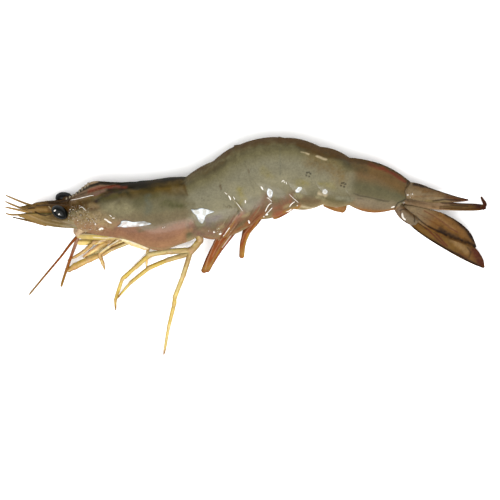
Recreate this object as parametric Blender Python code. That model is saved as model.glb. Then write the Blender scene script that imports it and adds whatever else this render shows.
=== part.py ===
"""Raw whiteleg shrimp, whole, lying on its right flank on a small flat spot.

Every size below is in millimetres. +Z is up, the head points to -X, the back to +Y and
the belly to -Y. The animal's plane of symmetry lies level over the floor and sinks a
little towards the head and the tail. Carapace, tail segments, fan, eyes, antennae and
limbs are modelled one by one and then fused into one solid.
"""

import math

import bmesh
import bpy
from mathutils import Vector

MM = 0.001

# Height of the plane of symmetry over the floor, as (x, z).
MIDPLANE = ((-80, 7.2), (-58, 7.6), (-45, 8.2), (-20, 8.2), (30, 7.8), (56, 5.6), (80, 5.0))

# Body rings: points along each side from the back to the pleuron's edge.
SIDE_STEPS = 12
EDGE_TUCK = 0.8          # half width at the pleuron's edge, as a share of the widest
BELLY_RECESS = 2.2       # how far the belly lies inside the pleura's edges, at full width
BELLY_SHARES = (0.5, 0.0, -0.5)  # its points across, as shares of the half width
BELLY_CROWN = 0.3        # how much less it lies in there than on the mid line
NARROW_HALF = 4.8        # half width at which the belly is flush with those edges
WIDE_HALF = 8.3          # half width at which it lies in fully
SHELL_STEP = 0.35        # how far each segment's rear edge stands proud of the next
SEGMENT_OVERLAP = 2.0    # how far each segment reaches under the one before it
SEGMENT_RINGS = 5

# Carapace rings: x, height of the back, height of the lower edge, half width.
CARAPACE_RINGS = (
    (-58.0, 19.1, 10.2, 4.8),
    (-55.3, 20.6, 9.4, 5.8),
    (-52.0, 22.1, 9.0, 6.6),
    (-48.0, 23.3, 8.4, 7.2),
    (-44.0, 24.2, 7.9, 7.7),
    (-40.0, 24.8, 7.1, 8.1),
    (-36.0, 25.1, 5.5, 8.4),
    (-32.0, 25.4, 3.7, 8.5),
    (-28.7, 25.9, 3.7, 8.5),
    (-25.3, 26.4, 5.3, 8.5),
    (-22.0, 26.6, 6.8, 8.4),
)
REAR_FORM_POWER = 3      # how late the rings take on the form of the rear edge

# Rear edge of the carapace and of the six tail segments, seen from the side: the points
# on the back, at the hinge, at the pleuron's corner and at its lower end, and the half
# width there.
REAR_EDGES = (
    ((-19.8, 26.6), (-20.2, 25.2), (-18.3, 18.2), (-15.7, 8.6), 8.3),
    ((-11.2, 32.0), (-8.3, 26.2), (-2.7, 18.9), (-7.6, 7.8), 8.3),
    ((-2.0, 38.1), (0.9, 30.9), (8.8, 20.7), (4.3, 14.3), 8.3),
    ((12.7, 40.3), (11.2, 32.7), (17.6, 20.6), (15.6, 17.9), 8.0),
    ((24.5, 37.2), (21.4, 31.1), (25.6, 21.6), (25.2, 19.3), 7.3),
    ((34.1, 33.1), (31.8, 27.7), (34.3, 20.6), (33.9, 18.6), 6.3),
    ((54.7, 24.5), (52.6, 22.8), (53.0, 20.2), (49.6, 16.1), 4.7),
)
# How far each segment bulges past the straight line between its edges, on the back and
# at the lower edge.
BACK_BULGE = (0.5, 0.7, 1.1, 1.0, 0.9, 2.0)
LOWER_BULGE = (0.8, 0.7, 0.8, 0.9, 1.3, 1.9)
SIDE_BULGE = 0.3

# Rostrum: a thin toothed blade on the mid line.
ROSTRUM_THICKNESS = 1.3
RIDGE = (
    (-36.0, 25.0), (-43.5, 25.1), (-48.6, 25.2), (-52.6, 23.4), (-57.6, 20.0), (-63.3, 17.6),
    (-70.0, 17.2),
)
RIDGE_KEEL = ((-66.0, 16.4), (-58.0, 16.6), (-50.0, 19.0), (-36.0, 21.0))
RIDGE_STEPS = 8
TOOTH_COUNT = 9
TOOTH_START = -47.9
TOOTH_PITCH = 1.25       # spacing of the first two teeth
TOOTH_PITCH_GAIN = 0.13  # the spacing widens towards the tip
TOOTH_RISE = 0.65
TOOTH_LEAN = 0.75

# Eyes: centre, root of the stalk, and the long axis' angle against +X in degrees.
EYES = {
    "left": ((-61.9, 16.4, 13.2), (-59.4, 15.8, 10.0), -34.0),
    "right": ((-60.5, 17.2, 2.6), (-59.2, 16.6, 5.4), -8.0),
}
EYE_HALF = (2.85, 2.1, 2.2)  # half lengths along, across and upwards
EYE_SEGMENTS = 14
EYE_BANDS = 9
STALK_RADIUS = 1.35

# Blades: x, y, z of the centre line, half width and half thickness. The last number of
# each blade is the angle of its width against the level plane, in degrees.
SCALE_BLADE = (
    ((-55.0, 12.6, 11.4, 2.6, 0.70), (-60.5, 12.9, 11.6, 2.5, 0.60), (-66.0, 13.1, 11.2, 2.1, 0.50),
     (-71.0, 13.7, 10.6, 1.3, 0.40), (-75.0, 13.7, 10.0, 0.4, 0.30)),
    10.0,
)
SCALE_DROP = 0.8         # how much further back the right one lies
TELSON_BLADE = (
    ((49.0, 21.8, 6.0, 3.0, 2.3), (56.0, 21.5, 5.6, 3.3, 1.9), (60.5, 20.3, 5.4, 2.8, 1.5),
     (65.5, 19.0, 5.2, 2.1, 1.1), (70.0, 18.0, 5.1, 1.3, 0.7), (73.9, 17.5, 5.0, 0.4, 0.35)),
    88.0,
)
FAR_FAN_BLADE = (
    ((51.0, 17.2, 4.0, 2.0, 1.2), (57.5, 15.7, 3.4, 2.6, 0.85), (64.0, 14.9, 3.0, 2.4, 0.65),
     (71.0, 14.2, 2.8, 2.0, 0.55), (77.0, 14.0, 2.6, 1.8, 0.50), (80.2, 14.0, 2.6, 1.0, 0.45)),
    105.0,
)
NEAR_INNER_BLADE = (
    ((54.0, 13.6, 7.2, 1.6, 0.9), (59.5, 12.1, 6.8, 2.9, 0.65), (64.5, 9.6, 6.1, 3.7, 0.55),
     (69.5, 6.6, 5.4, 3.4, 0.50), (73.3, 3.8, 4.8, 2.4, 0.45), (76.6, 0.2, 4.2, 0.7, 0.40)),
    0.0,
)
NEAR_OUTER_BLADE = (
    ((53.8, 12.4, 7.4, 1.6, 0.9), (58.4, 8.8, 6.6, 2.4, 0.60), (63.5, 5.3, 5.7, 2.9, 0.55),
     (69.4, 1.5, 4.8, 3.2, 0.55), (74.5, -2.1, 3.9, 2.9, 0.50), (78.0, -5.3, 3.5, 1.8, 0.45),
     (79.6, -7.3, 3.4, 0.6, 0.40)),
    -4.0,
)

# Limbs: x, y, z and radius at each joint, from the body outwards.
FAN_LIMBS = {
    "fan_foot_left": ((49.5, 17.4, 7.4, 1.3), (52.0, 14.1, 7.8, 1.9), (54.8, 11.7, 7.6, 1.9),
                      (57.0, 10.4, 7.0, 1.2)),
    "fan_foot_right": ((48.5, 18.6, 4.0, 1.3), (52.0, 16.4, 3.9, 1.7), (57.0, 15.3, 3.4, 1.1)),
    "fan_right_hem": ((79.6, 13.9, 2.8, 0.5), (79.5, 15.3, 2.2, 0.42), (78.3, 17.3, 1.6, 0.3)),
}
LEFT_SIDE_LIMBS = {
    "antennule_left": ((-56.5, 16.0, 9.4, 1.7), (-61.5, 16.2, 9.8, 1.7), (-66.5, 16.0, 9.7, 1.35),
                       (-70.5, 15.4, 9.4, 1.0), (-72.5, 15.1, 9.1, 0.6)),
    "flagellum_left_outer": ((-70.5, 15.2, 9.5, 0.50), (-73.3, 15.2, 9.4, 0.42), (-77.5, 15.7, 8.2, 0.36),
                             (-80.2, 15.9, 7.2, 0.28)),
    "flagellum_left_inner": ((-70.5, 14.9, 9.6, 0.50), (-73.6, 14.2, 9.6, 0.40), (-77.6, 13.6, 8.5, 0.36),
                             (-80.0, 13.7, 7.4, 0.28)),
    "antenna_foot_left": ((-52.0, 10.6, 10.6, 1.8), (-54.6, 9.6, 11.4, 1.3), (-55.6, 8.2, 11.8, 0.95),
                          (-55.5, 7.0, 11.8, 0.8)),
    "antenna_left": ((-55.7, 7.6, 11.8, 0.60), (-58.7, 3.2, 9.6, 0.50), (-62.0, -2.5, 6.2, 0.44),
                     (-67.0, -10.2, 3.0, 0.38), (-72.4, -18.2, 1.0, 0.30)),
    "mouth_limb_left": ((-37.5, 8.4, 10.6, 1.3), (-41.7, 7.1, 12.0, 0.7), (-46.0, 7.2, 12.6, 0.85),
                        (-50.3, 7.1, 12.4, 1.05), (-54.4, 6.9, 11.6, 1.05)),
    "leg_roots_left": ((-31.0, 5.4, 11.0, 1.2), (-33.6, 3.7, 11.4, 1.2), (-37.6, 4.9, 11.2, 1.1),
                       (-41.4, 6.6, 11.2, 0.9)),
    "leg_1_left": ((-37.6, 7.6, 9.8, 1.4), (-42.3, 5.8, 10.6, 0.75), (-45.7, 2.4, 9.0, 0.65),
                   (-48.8, -0.9, 7.0, 0.60), (-48.6, -2.6, 6.2, 0.80), (-47.9, -5.4, 4.8, 0.70),
                   (-47.3, -8.3, 3.6, 0.35)),
    "leg_2_left": ((-33.5, 6.0, 9.6, 1.5), (-38.6, 4.4, 9.6, 0.95), (-44.3, 1.0, 7.2, 0.80),
                   (-47.8, -1.5, 5.8, 0.90), (-52.6, -4.2, 4.0, 1.15), (-57.3, -7.1, 2.8, 0.95),
                   (-59.9, -8.9, 2.2, 0.45)),
    "leg_3_left": ((-40.0, 7.6, 8.6, 1.0), (-47.3, 4.6, 8.2, 0.55), (-50.5, 3.8, 7.5, 0.50),
                   (-52.8, 0.7, 6.0, 0.50), (-54.5, -1.1, 5.0, 0.50), (-57.2, -3.3, 3.8, 0.55),
                   (-59.9, -5.1, 2.8, 0.35)),
    "leg_4_left": ((-17.5, 9.6, 10.4, 1.6), (-15.2, 6.2, 11.2, 1.15), (-18.2, 1.8, 10.0, 1.05),
                   (-25.3, 0.9, 9.4, 1.00), (-32.0, -0.6, 8.6, 0.90), (-36.7, -6.0, 6.0, 0.80),
                   (-41.4, -11.2, 4.0, 0.75), (-44.0, -19.8, 2.0, 0.60), (-44.0, -24.2, 1.0, 0.40)),
    "leg_5_left": ((-17.6, 9.2, 8.8, 1.4), (-15.4, 4.6, 8.9, 1.10), (-18.3, 0.5, 8.0, 1.00),
                   (-21.0, -9.5, 5.2, 0.98), (-23.9, -18.1, 3.2, 0.85), (-24.2, -20.9, 2.8, 0.85),
                   (-26.2, -30.1, 1.6, 0.65), (-27.6, -38.6, 0.9, 0.48), (-28.0, -40.8, 0.8, 0.35)),
}
RIGHT_SIDE_LIMBS = {
    "antennule_right": ((-56.5, 16.6, 6.0, 1.6), (-61.5, 16.2, 5.7, 1.5), (-66.5, 15.6, 5.4, 1.2),
                        (-71.5, 15.0, 4.6, 0.6)),
    "flagellum_right_outer": ((-69.5, 15.4, 4.8, 0.50), (-71.8, 15.4, 4.2, 0.42), (-75.2, 16.4, 3.4, 0.36),
                              (-77.6, 17.3, 3.0, 0.33), (-80.2, 18.3, 2.4, 0.28)),
    "flagellum_right_inner": ((-69.5, 15.0, 5.6, 0.50), (-73.0, 14.5, 6.0, 0.42), (-77.6, 15.8, 5.0, 0.36),
                              (-80.4, 16.8, 4.2, 0.28)),
    "antenna_foot_right": ((-52.0, 10.6, 6.0, 1.9), (-55.4, 9.0, 5.4, 1.6), (-56.4, 6.6, 5.6, 1.1),
                           (-55.6, 4.4, 5.9, 0.9)),
    "antenna_right": ((-55.8, 5.0, 5.9, 0.75), (-58.4, -3.3, 4.0, 0.65), (-60.1, -9.0, 2.4, 0.60),
                      (-62.3, -15.3, 1.4, 0.50)),
    "mouth_limb_right": ((-37.5, 7.6, 6.4, 1.3), (-42.6, 4.6, 5.4, 0.8), (-48.2, 3.4, 4.8, 0.95),
                         (-54.8, 2.9, 4.8, 0.95)),
    "leg_1_right": ((-36.6, 9.6, 6.9, 1.3), (-42.7, 3.6, 5.8, 0.65), (-45.5, 2.8, 5.2, 0.60),
                    (-49.8, -0.1, 3.9, 0.60), (-54.7, -4.2, 2.4, 0.35)),
    "leg_2_right": ((-34.0, 7.0, 6.2, 1.3), (-38.8, 2.6, 4.6, 0.85), (-44.3, -0.5, 3.4, 0.75),
                    (-47.6, -2.8, 2.6, 0.75), (-52.2, -5.0, 1.8, 0.90), (-56.4, -7.4, 1.3, 0.40)),
    "leg_3_right": ((-31.5, 6.0, 7.6, 1.3), (-32.6, 0.8, 6.0, 0.75), (-33.2, -3.4, 4.4, 0.50),
                    (-33.4, -7.9, 3.0, 0.35)),
    "leg_4_right": ((-17.6, 9.0, 7.4, 1.4), (-15.6, 4.2, 7.4, 1.05), (-19.2, -0.5, 7.0, 1.00),
                    (-26.0, -3.7, 5.6, 0.95), (-32.4, -7.2, 4.2, 0.90), (-38.7, -13.3, 2.3, 0.70),
                    (-43.6, -19.8, 1.0, 0.38)),
    "leg_5_right": ((-17.8, 9.4, 6.0, 1.3), (-16.4, 3.4, 5.0, 1.00), (-19.0, -0.4, 4.2, 0.95),
                    (-25.0, -1.8, 2.9, 0.90), (-31.5, -3.2, 2.2, 0.80), (-36.9, -7.9, 1.2, 0.65),
                    (-41.0, -12.8, 0.9, 0.40)),
}
# Swimming limbs under the tail; the first one on the left shows both its branches.
SWIM_LIMBS = {
    "swim_1_left_outer": ((-3.6, 12.2, 11.0, 1.7), (-7.6, 7.4, 11.4, 1.7), (-10.4, 1.8, 9.4, 1.35),
                          (-12.8, -4.0, 7.2, 1.2), (-14.5, -8.4, 5.8, 0.8)),
    "swim_1_left_inner": ((-2.0, 12.4, 10.0, 1.6), (-5.6, 7.0, 10.0, 1.6), (-9.0, 1.0, 8.4, 1.2),
                          (-11.6, -4.4, 6.4, 1.0), (-13.2, -8.4, 5.2, 0.7)),
    "swim_1_right": ((-4.4, 11.6, 6.4, 1.2), (-7.6, 6.0, 5.8, 1.2), (-10.2, 0.6, 4.6, 1.1),
                     (-12.4, -5.6, 3.2, 0.7)),
    "swim_2_left": ((5.9, 17.2, 11.2, 1.6), (3.0, 12.6, 11.6, 1.5), (0.5, 8.4, 10.4, 1.2),
                    (-1.0, 3.4, 8.4, 1.05), (-1.6, -2.4, 6.2, 0.9)),
    "swim_2_right": ((5.0, 17.0, 6.0, 1.3), (2.4, 11.6, 5.6, 1.1), (-0.2, 6.0, 4.4, 1.0),
                     (-1.0, 0.4, 3.2, 0.7)),
    "swim_3_left": ((16.4, 19.6, 11.6, 1.5), (13.6, 17.2, 12.0, 1.5), (10.8, 14.8, 11.4, 1.2),
                    (9.0, 13.1, 10.8, 0.6)),
    "swim_3_right": ((16.0, 19.4, 5.6, 1.4), (13.0, 16.6, 5.0, 1.3), (9.8, 14.4, 4.6, 0.8)),
    "swim_4_left": ((24.4, 19.8, 10.4, 1.3), (20.6, 18.4, 11.0, 1.2), (17.6, 17.2, 10.8, 0.7)),
    "swim_4_right": ((24.0, 19.8, 5.6, 1.3), (20.2, 18.0, 5.2, 1.2), (17.2, 16.8, 5.2, 0.7)),
    "swim_5_left": ((27.4, 19.6, 9.8, 1.2), (30.4, 17.4, 10.4, 1.5), (33.4, 16.0, 10.0, 1.3)),
    "swim_5_right": ((29.6, 19.6, 5.6, 1.2), (31.2, 16.9, 5.2, 1.3), (34.0, 16.3, 5.2, 0.7)),
}
PATH_STEPS = 2           # sampled points between two joints
LIMB_BEVEL = 2           # bevel steps of a limb's round section
BLADE_SIDES = 8

REST_BLOCK = (200.0, 120.0, 20.0)  # the block under the floor that cuts the flat spot

MERGE_DISTANCE = 1e-7    # in metres
SHARP_ANGLE = 40.0

# Colour, from 0 to 255, and roughness.
FINISHES = {
    "shell": ((125, 117, 88), 0.25),
    "eye": ((24, 23, 22), 0.15),
    "leg": ((214, 176, 104), 0.40),
    "swimmer": ((160, 106, 60), 0.40),
    "fan": ((124, 88, 50), 0.30),
}


def srgb_to_linear(value):
    """One colour channel, from 0 to 255, as Blender's linear value."""
    share = value / 255
    return share / 12.92 if share <= 0.04045 else ((share + 0.055) / 1.055) ** 2.4


def finish(name):
    """A Principled material with the named finish."""
    colour, roughness = FINISHES[name]
    material = bpy.data.materials.new(name)
    material.use_nodes = True
    shader = material.node_tree.nodes["Principled BSDF"]
    shader.inputs["Base Color"].default_value = [srgb_to_linear(v) for v in colour] + [1.0]
    shader.inputs["Roughness"].default_value = roughness
    shader.inputs["Metallic"].default_value = 0.0
    return material


def blend_table(table, x):
    """Value of a table of (x, value) pairs at x, on straight lines."""
    for (x0, v0), (x1, v1) in zip(table, table[1:]):
        if x <= x1:
            share = max(0.0, (x - x0) / (x1 - x0))
            return v0 + (v1 - v0) * share
    return table[-1][1]


def smooth_path(points, steps):
    """Points on a smooth curve through the given vectors."""
    padded = [points[0] * 2 - points[1]] + points + [points[-1] * 2 - points[-2]]
    path = []
    for a, b, c, d in zip(padded, padded[1:], padded[2:], padded[3:]):
        for step in range(steps):
            t = step / steps
            bend = (a * -1 + b * 3 - c * 3 + d) * t ** 3 + (a * 2 - b * 5 + c * 4 - d) * t ** 2
            path.append((bend + (c - a) * t + b * 2) / 2)
    path.append(points[-1])
    return path


def add_object(name, mesh, material, collection):
    """A new object with this mesh and finish."""
    mesh.materials.append(material)
    item = bpy.data.objects.new(name, mesh)
    collection.objects.link(item)
    return item


def loft(name, rings, material, collection):
    """A closed solid through rings of equal point count, with fans over both ends."""
    bm = bmesh.new()
    rows = [[bm.verts.new(point * MM) for point in ring] for ring in rings]
    count = len(rings[0])
    for low, high in zip(rows, rows[1:]):
        for k in range(count):
            after = (k + 1) % count
            bm.faces.new((low[k], low[after], high[after], high[k]))
    for row in (rows[0], rows[-1]):
        centre = bm.verts.new(sum((v.co for v in row), Vector()) / count)
        for k in range(count):
            bm.faces.new((row[k], row[(k + 1) % count], centre))
    bmesh.ops.recalc_face_normals(bm, faces=bm.faces)
    bmesh.ops.triangulate(bm, faces=bm.faces)
    mesh = bpy.data.meshes.new(name)
    bm.to_mesh(mesh)
    bm.free()
    return add_object(name, mesh, material, collection)


def side_offsets(edge):
    """Share of the way from back to lower end, and sideways offset, of hinge and corner."""
    back, hinge, corner, lower = (Vector(point) for point in edge[:4])
    axis = lower - back
    length = axis.length
    axis.normalize()
    across = Vector((-axis.y, axis.x))
    table = [(0.0, 0.0)]
    for point in (hinge, corner):
        table.append(((point - back).dot(axis) / length, (point - back).dot(across)))
    table.append((1.0, 0.0))
    return table


def smooth_offset(table, share):
    """Offset at this share of the way, eased between the table's points."""
    for (s0, v0), (s1, v1) in zip(table, table[1:]):
        if share <= s1:
            t = (share - s0) / (s1 - s0)
            ease = t * t * (3 - 2 * t)
            return v0 + (v1 - v0) * (0.5 * t + 0.5 * ease)
    return 0.0


def body_ring(back, lower, half_width, offsets):
    """One ring of the body: down the left side, across the belly and up the right."""
    back = Vector(back)
    lower = Vector(lower)
    axis = lower - back
    across = Vector((-axis.y, axis.x)).normalized()
    fullness = min(1.0, max(0.0, (half_width - NARROW_HALF) / (WIDE_HALF - NARROW_HALF)))
    inward = axis.normalized() * -BELLY_RECESS * fullness
    widest = math.pi - math.asin(EDGE_TUCK)
    left = []
    right = []
    for step in range(SIDE_STEPS + 1):
        angle = widest * step / SIDE_STEPS
        share = (1 - math.cos(angle)) / (1 - math.cos(widest))
        place = back + axis * share + across * smooth_offset(offsets, share)
        middle = blend_table(MIDPLANE, place.x)
        reach = half_width * math.sin(angle)
        left.append(Vector((place.x, place.y, middle + reach)))
        right.append(Vector((place.x, place.y, middle - reach)))
    middle = blend_table(MIDPLANE, lower.x)
    belly = []
    for share in BELLY_SHARES:
        rise = inward * (1.0 - BELLY_CROWN * abs(share))
        belly.append(Vector((lower.x + rise.x, lower.y + rise.y, middle + share * half_width)))
    return left + belly + right[:0:-1]


def make_carapace(material, collection):
    """The head shield, from the eye sockets to the rear edge over the first segment."""
    edge = REAR_EDGES[0]
    rear = side_offsets(edge)
    rings = []
    first_x = CARAPACE_RINGS[0][0]
    last_x = edge[0][0]
    for x, top, bottom, half in CARAPACE_RINGS:
        share = max(0.0, (x - first_x) / (last_x - first_x)) ** REAR_FORM_POWER
        offsets = [(s, v * share) for s, v in rear]
        slant = (edge[3][0] - edge[0][0]) * share
        rings.append(body_ring((x, top), (x + slant, bottom), half, offsets))
    rings.append(body_ring(edge[0], edge[3], edge[4], rear))
    return loft("carapace", rings, material, collection)


def make_segment(number, material, collection):
    """One tail segment, from under the plate before it to its own rear edge."""
    before = REAR_EDGES[number]
    after = REAR_EDGES[number + 1]
    tucked = (Vector(before[0]) - Vector(after[0])).normalized() * SEGMENT_OVERLAP
    rings = []
    for step in range(-1, SEGMENT_RINGS + 1):
        share = max(0.0, step / SEGMENT_RINGS)
        swell = 4 * share * (1 - share)
        back = Vector(before[0]).lerp(Vector(after[0]), share)
        lower = Vector(before[3]).lerp(Vector(after[3]), share)
        axis = (lower - back).normalized()
        back -= axis * (BACK_BULGE[number] * swell - SHELL_STEP * (1 - share))
        lower += axis * LOWER_BULGE[number] * swell
        half = before[4] + (after[4] - before[4]) * share
        half += SIDE_BULGE * swell - SHELL_STEP * (1 - share)
        if step < 0:
            back += tucked
            lower += tucked
        offsets = [
            (s0 + (s1 - s0) * share, v0 + (v1 - v0) * share)
            for (s0, v0), (s1, v1) in zip(side_offsets(before), side_offsets(after))
        ]
        rings.append(body_ring(back, lower, half, offsets))
    return loft(f"segment_{number + 1}", rings, material, collection)


def blade(name, stations, tilt, material, collection):
    """A flat blade with lens-shaped sections along its centre line."""
    centres = [Vector(station[:3]) for station in stations]
    sizes = [Vector((station[3], station[4], 0.0)) for station in stations]
    path = smooth_path(centres, PATH_STEPS)
    spans = smooth_path(sizes, PATH_STEPS)
    rings = []
    for index, (centre, size) in enumerate(zip(path, spans)):
        ahead = path[min(index + 1, len(path) - 1)] - path[max(index - 1, 0)]
        level = Vector((-ahead.y, ahead.x, 0.0)).normalized()
        upward = ahead.cross(level).normalized()
        turn = math.radians(tilt)
        width = level * math.cos(turn) + upward * math.sin(turn)
        depth = ahead.cross(width).normalized()
        ring = []
        for k in range(BLADE_SIDES):
            angle = 2 * math.pi * k / BLADE_SIDES
            ring.append(centre + width * size.x * math.cos(angle) + depth * size.y * math.sin(angle))
        rings.append(ring)
    return loft(name, rings, material, collection)


def limb(name, joints, material, collection):
    """A tapered tube through the joints, closed at both ends."""
    places = smooth_path([Vector(joint[:3]) for joint in joints], PATH_STEPS)
    radii = smooth_path([Vector((joint[3], 0.0, 0.0)) for joint in joints], PATH_STEPS)
    curve = bpy.data.curves.new(name, "CURVE")
    curve.dimensions = "3D"
    curve.bevel_depth = MM
    curve.bevel_resolution = LIMB_BEVEL
    curve.use_fill_caps = True
    spline = curve.splines.new("POLY")
    spline.points.add(len(places) - 1)
    for point, place, radius in zip(spline.points, places, radii):
        point.co = (*(place * MM), 1.0)
        point.radius = radius.x
    source = bpy.data.objects.new(name, curve)
    collection.objects.link(source)
    evaluated = source.evaluated_get(bpy.context.evaluated_depsgraph_get())
    mesh = bpy.data.meshes.new_from_object(evaluated)
    bpy.data.objects.remove(source)
    bm = bmesh.new()
    bm.from_mesh(mesh)
    bmesh.ops.remove_doubles(bm, verts=bm.verts, dist=MERGE_DISTANCE)
    bmesh.ops.recalc_face_normals(bm, faces=bm.faces)
    bm.to_mesh(mesh)
    bm.free()
    return add_object(name, mesh, material, collection)


def make_rostrum(material, collection):
    """The toothed blade on the mid line, cut from a flat outline."""
    path = smooth_path([Vector((x, y, 0.0)) for x, y in RIDGE], RIDGE_STEPS)
    ridge = [(point.x, point.y) for point in reversed(path)]
    outline = list(RIDGE[:2])
    for tooth in range(TOOTH_COUNT):
        x = TOOTH_START - TOOTH_PITCH * tooth - TOOTH_PITCH_GAIN * tooth ** 2
        outline.append((x, blend_table(ridge, x)))
        outline.append((x - TOOTH_LEAN, blend_table(ridge, x - TOOTH_LEAN) + TOOTH_RISE))
    outline.append(RIDGE[-1])
    outline += list(RIDGE_KEEL)
    curve = bpy.data.curves.new("rostrum", "CURVE")
    curve.dimensions = "2D"
    curve.fill_mode = "BOTH"
    curve.extrude = ROSTRUM_THICKNESS / 2 * MM
    spline = curve.splines.new("POLY")
    spline.points.add(len(outline) - 1)
    for point, (x, y) in zip(spline.points, outline):
        point.co = (x * MM, y * MM, 0.0, 1.0)
    spline.use_cyclic_u = True
    source = bpy.data.objects.new("rostrum", curve)
    collection.objects.link(source)
    evaluated = source.evaluated_get(bpy.context.evaluated_depsgraph_get())
    mesh = bpy.data.meshes.new_from_object(evaluated)
    bpy.data.objects.remove(source)
    bm = bmesh.new()
    bm.from_mesh(mesh)
    bmesh.ops.remove_doubles(bm, verts=bm.verts, dist=MERGE_DISTANCE)
    for vert in bm.verts:
        vert.co.z += blend_table(MIDPLANE, vert.co.x / MM) * MM
    bmesh.ops.recalc_face_normals(bm, faces=bm.faces)
    bm.to_mesh(mesh)
    bm.free()
    return add_object("rostrum", mesh, material, collection)


def make_eye(side, eye_finish, stalk_finish, collection):
    """One eye, an egg on a short stalk."""
    centre, root, angle = EYES[side]
    bm = bmesh.new()
    bmesh.ops.create_uvsphere(bm, u_segments=EYE_SEGMENTS, v_segments=EYE_BANDS, radius=MM)
    bmesh.ops.scale(bm, verts=bm.verts, vec=EYE_HALF)
    turn = math.radians(angle)
    for vert in bm.verts:
        x, y, z = vert.co
        vert.co = (
            x * math.cos(turn) - y * math.sin(turn) + centre[0] * MM,
            x * math.sin(turn) + y * math.cos(turn) + centre[1] * MM,
            z + centre[2] * MM,
        )
    mesh = bpy.data.meshes.new(f"eye_{side}")
    bm.to_mesh(mesh)
    bm.free()
    add_object(f"eye_{side}", mesh, eye_finish, collection)
    stalk = ((*root, STALK_RADIUS), (*centre, STALK_RADIUS))
    limb(f"stalk_{side}", stalk, stalk_finish, collection)


def mirrored(stations, drop):
    """The same blade on the right side of the plane of symmetry."""
    flipped = []
    for x, y, z, wide, thick in stations:
        flipped.append((x, y + drop, 2 * blend_table(MIDPLANE, x) - z, wide, thick))
    return flipped


def fuse(body, pieces, cutter):
    """Join the body with every piece, cut the flat spot, and keep one mesh."""
    union = body.modifiers.new("Union", "BOOLEAN")
    union.operation = "UNION"
    union.operand_type = "COLLECTION"
    union.collection = pieces
    union.solver = "EXACT"
    union.use_self = True
    rest = body.modifiers.new("Rest", "BOOLEAN")
    rest.operation = "DIFFERENCE"
    rest.object = cutter
    rest.solver = "EXACT"
    evaluated = body.evaluated_get(bpy.context.evaluated_depsgraph_get())
    mesh = bpy.data.meshes.new_from_object(evaluated)
    body.modifiers.clear()
    body.data = mesh
    for piece in list(pieces.objects):
        bpy.data.objects.remove(piece)
    bpy.data.collections.remove(pieces)


def make_rest_cutter():
    """A block under the floor level that cuts the flat spot on the right flank."""
    cutters = bpy.data.collections.new("cutters")
    bpy.context.scene.collection.children.link(cutters)
    bm = bmesh.new()
    bmesh.ops.create_cube(bm, size=1.0)
    size = Vector(REST_BLOCK) * MM
    bmesh.ops.scale(bm, verts=bm.verts, vec=size)
    bmesh.ops.translate(bm, verts=bm.verts, vec=(0.0, 0.0, -size.z / 2))
    mesh = bpy.data.meshes.new("rest_cutter")
    bm.to_mesh(mesh)
    bm.free()
    cutter = bpy.data.objects.new("rest_cutter", mesh)
    cutters.objects.link(cutter)
    cutter.hide_render = True
    cutter.display_type = "WIRE"
    return cutter


def main():
    for item in list(bpy.data.objects):
        bpy.data.objects.remove(item)
    shrimp = bpy.data.collections.new("shrimp")
    pieces = bpy.data.collections.new("pieces")
    bpy.context.scene.collection.children.link(shrimp)
    bpy.context.scene.collection.children.link(pieces)
    shell = finish("shell")
    eye = finish("eye")
    leg = finish("leg")
    swimmer = finish("swimmer")
    fan = finish("fan")

    body = make_carapace(shell, shrimp)
    body.name = "shrimp"
    for number in range(len(REAR_EDGES) - 1):
        make_segment(number, shell, pieces)
    make_rostrum(shell, pieces)
    for side in EYES:
        make_eye(side, eye, shell, pieces)
    blade("scale_left", *SCALE_BLADE, leg, pieces)
    blade("scale_right", mirrored(SCALE_BLADE[0], SCALE_DROP), -SCALE_BLADE[1], leg, pieces)
    blade("telson", *TELSON_BLADE, fan, pieces)
    blade("fan_right", *FAR_FAN_BLADE, fan, pieces)
    blade("fan_left_inner", *NEAR_INNER_BLADE, fan, pieces)
    blade("fan_left_outer", *NEAR_OUTER_BLADE, fan, pieces)
    tables = ((FAN_LIMBS, fan), (LEFT_SIDE_LIMBS, leg), (RIGHT_SIDE_LIMBS, leg), (SWIM_LIMBS, swimmer))
    for table, material in tables:
        for name, joints in table.items():
            limb(name, joints, material, pieces)
    fuse(body, pieces, make_rest_cutter())
    body.data.name = "shrimp"
    body.data.shade_smooth()
    body.data.set_sharp_from_angle(angle=math.radians(SHARP_ANGLE))


main()
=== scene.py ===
"""Raw whiteleg shrimp, lying on its right flank: shell plates, limbs, tail fan and their finish.

Sizes are in millimetres in the part's own frame, and MM turns them into metres. The head
points to -X, the back to +Y, the belly to -Y, and the left flank faces up.
"""

import math
import random

import bmesh
import bpy
import numpy as np
from mathutils import Matrix, Vector, noise
from mathutils.bvhtree import BVHTree


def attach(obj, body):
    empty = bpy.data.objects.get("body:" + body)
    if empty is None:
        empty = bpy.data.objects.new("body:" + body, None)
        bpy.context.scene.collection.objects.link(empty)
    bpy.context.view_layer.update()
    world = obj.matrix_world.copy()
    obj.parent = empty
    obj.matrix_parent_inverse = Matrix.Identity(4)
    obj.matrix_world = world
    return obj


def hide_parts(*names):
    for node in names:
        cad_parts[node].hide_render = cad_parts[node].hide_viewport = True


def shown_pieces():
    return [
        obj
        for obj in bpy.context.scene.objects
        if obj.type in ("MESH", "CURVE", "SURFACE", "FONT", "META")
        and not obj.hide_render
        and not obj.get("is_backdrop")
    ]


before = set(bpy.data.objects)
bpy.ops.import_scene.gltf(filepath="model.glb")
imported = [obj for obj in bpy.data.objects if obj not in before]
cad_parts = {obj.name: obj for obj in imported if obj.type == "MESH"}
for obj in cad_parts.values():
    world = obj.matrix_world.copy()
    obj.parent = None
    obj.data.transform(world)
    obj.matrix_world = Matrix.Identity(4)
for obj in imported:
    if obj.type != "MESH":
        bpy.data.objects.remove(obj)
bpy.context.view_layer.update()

MM = 0.001
NODE = "shrimp"
MERGE = 1e-6             # in metres

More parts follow.
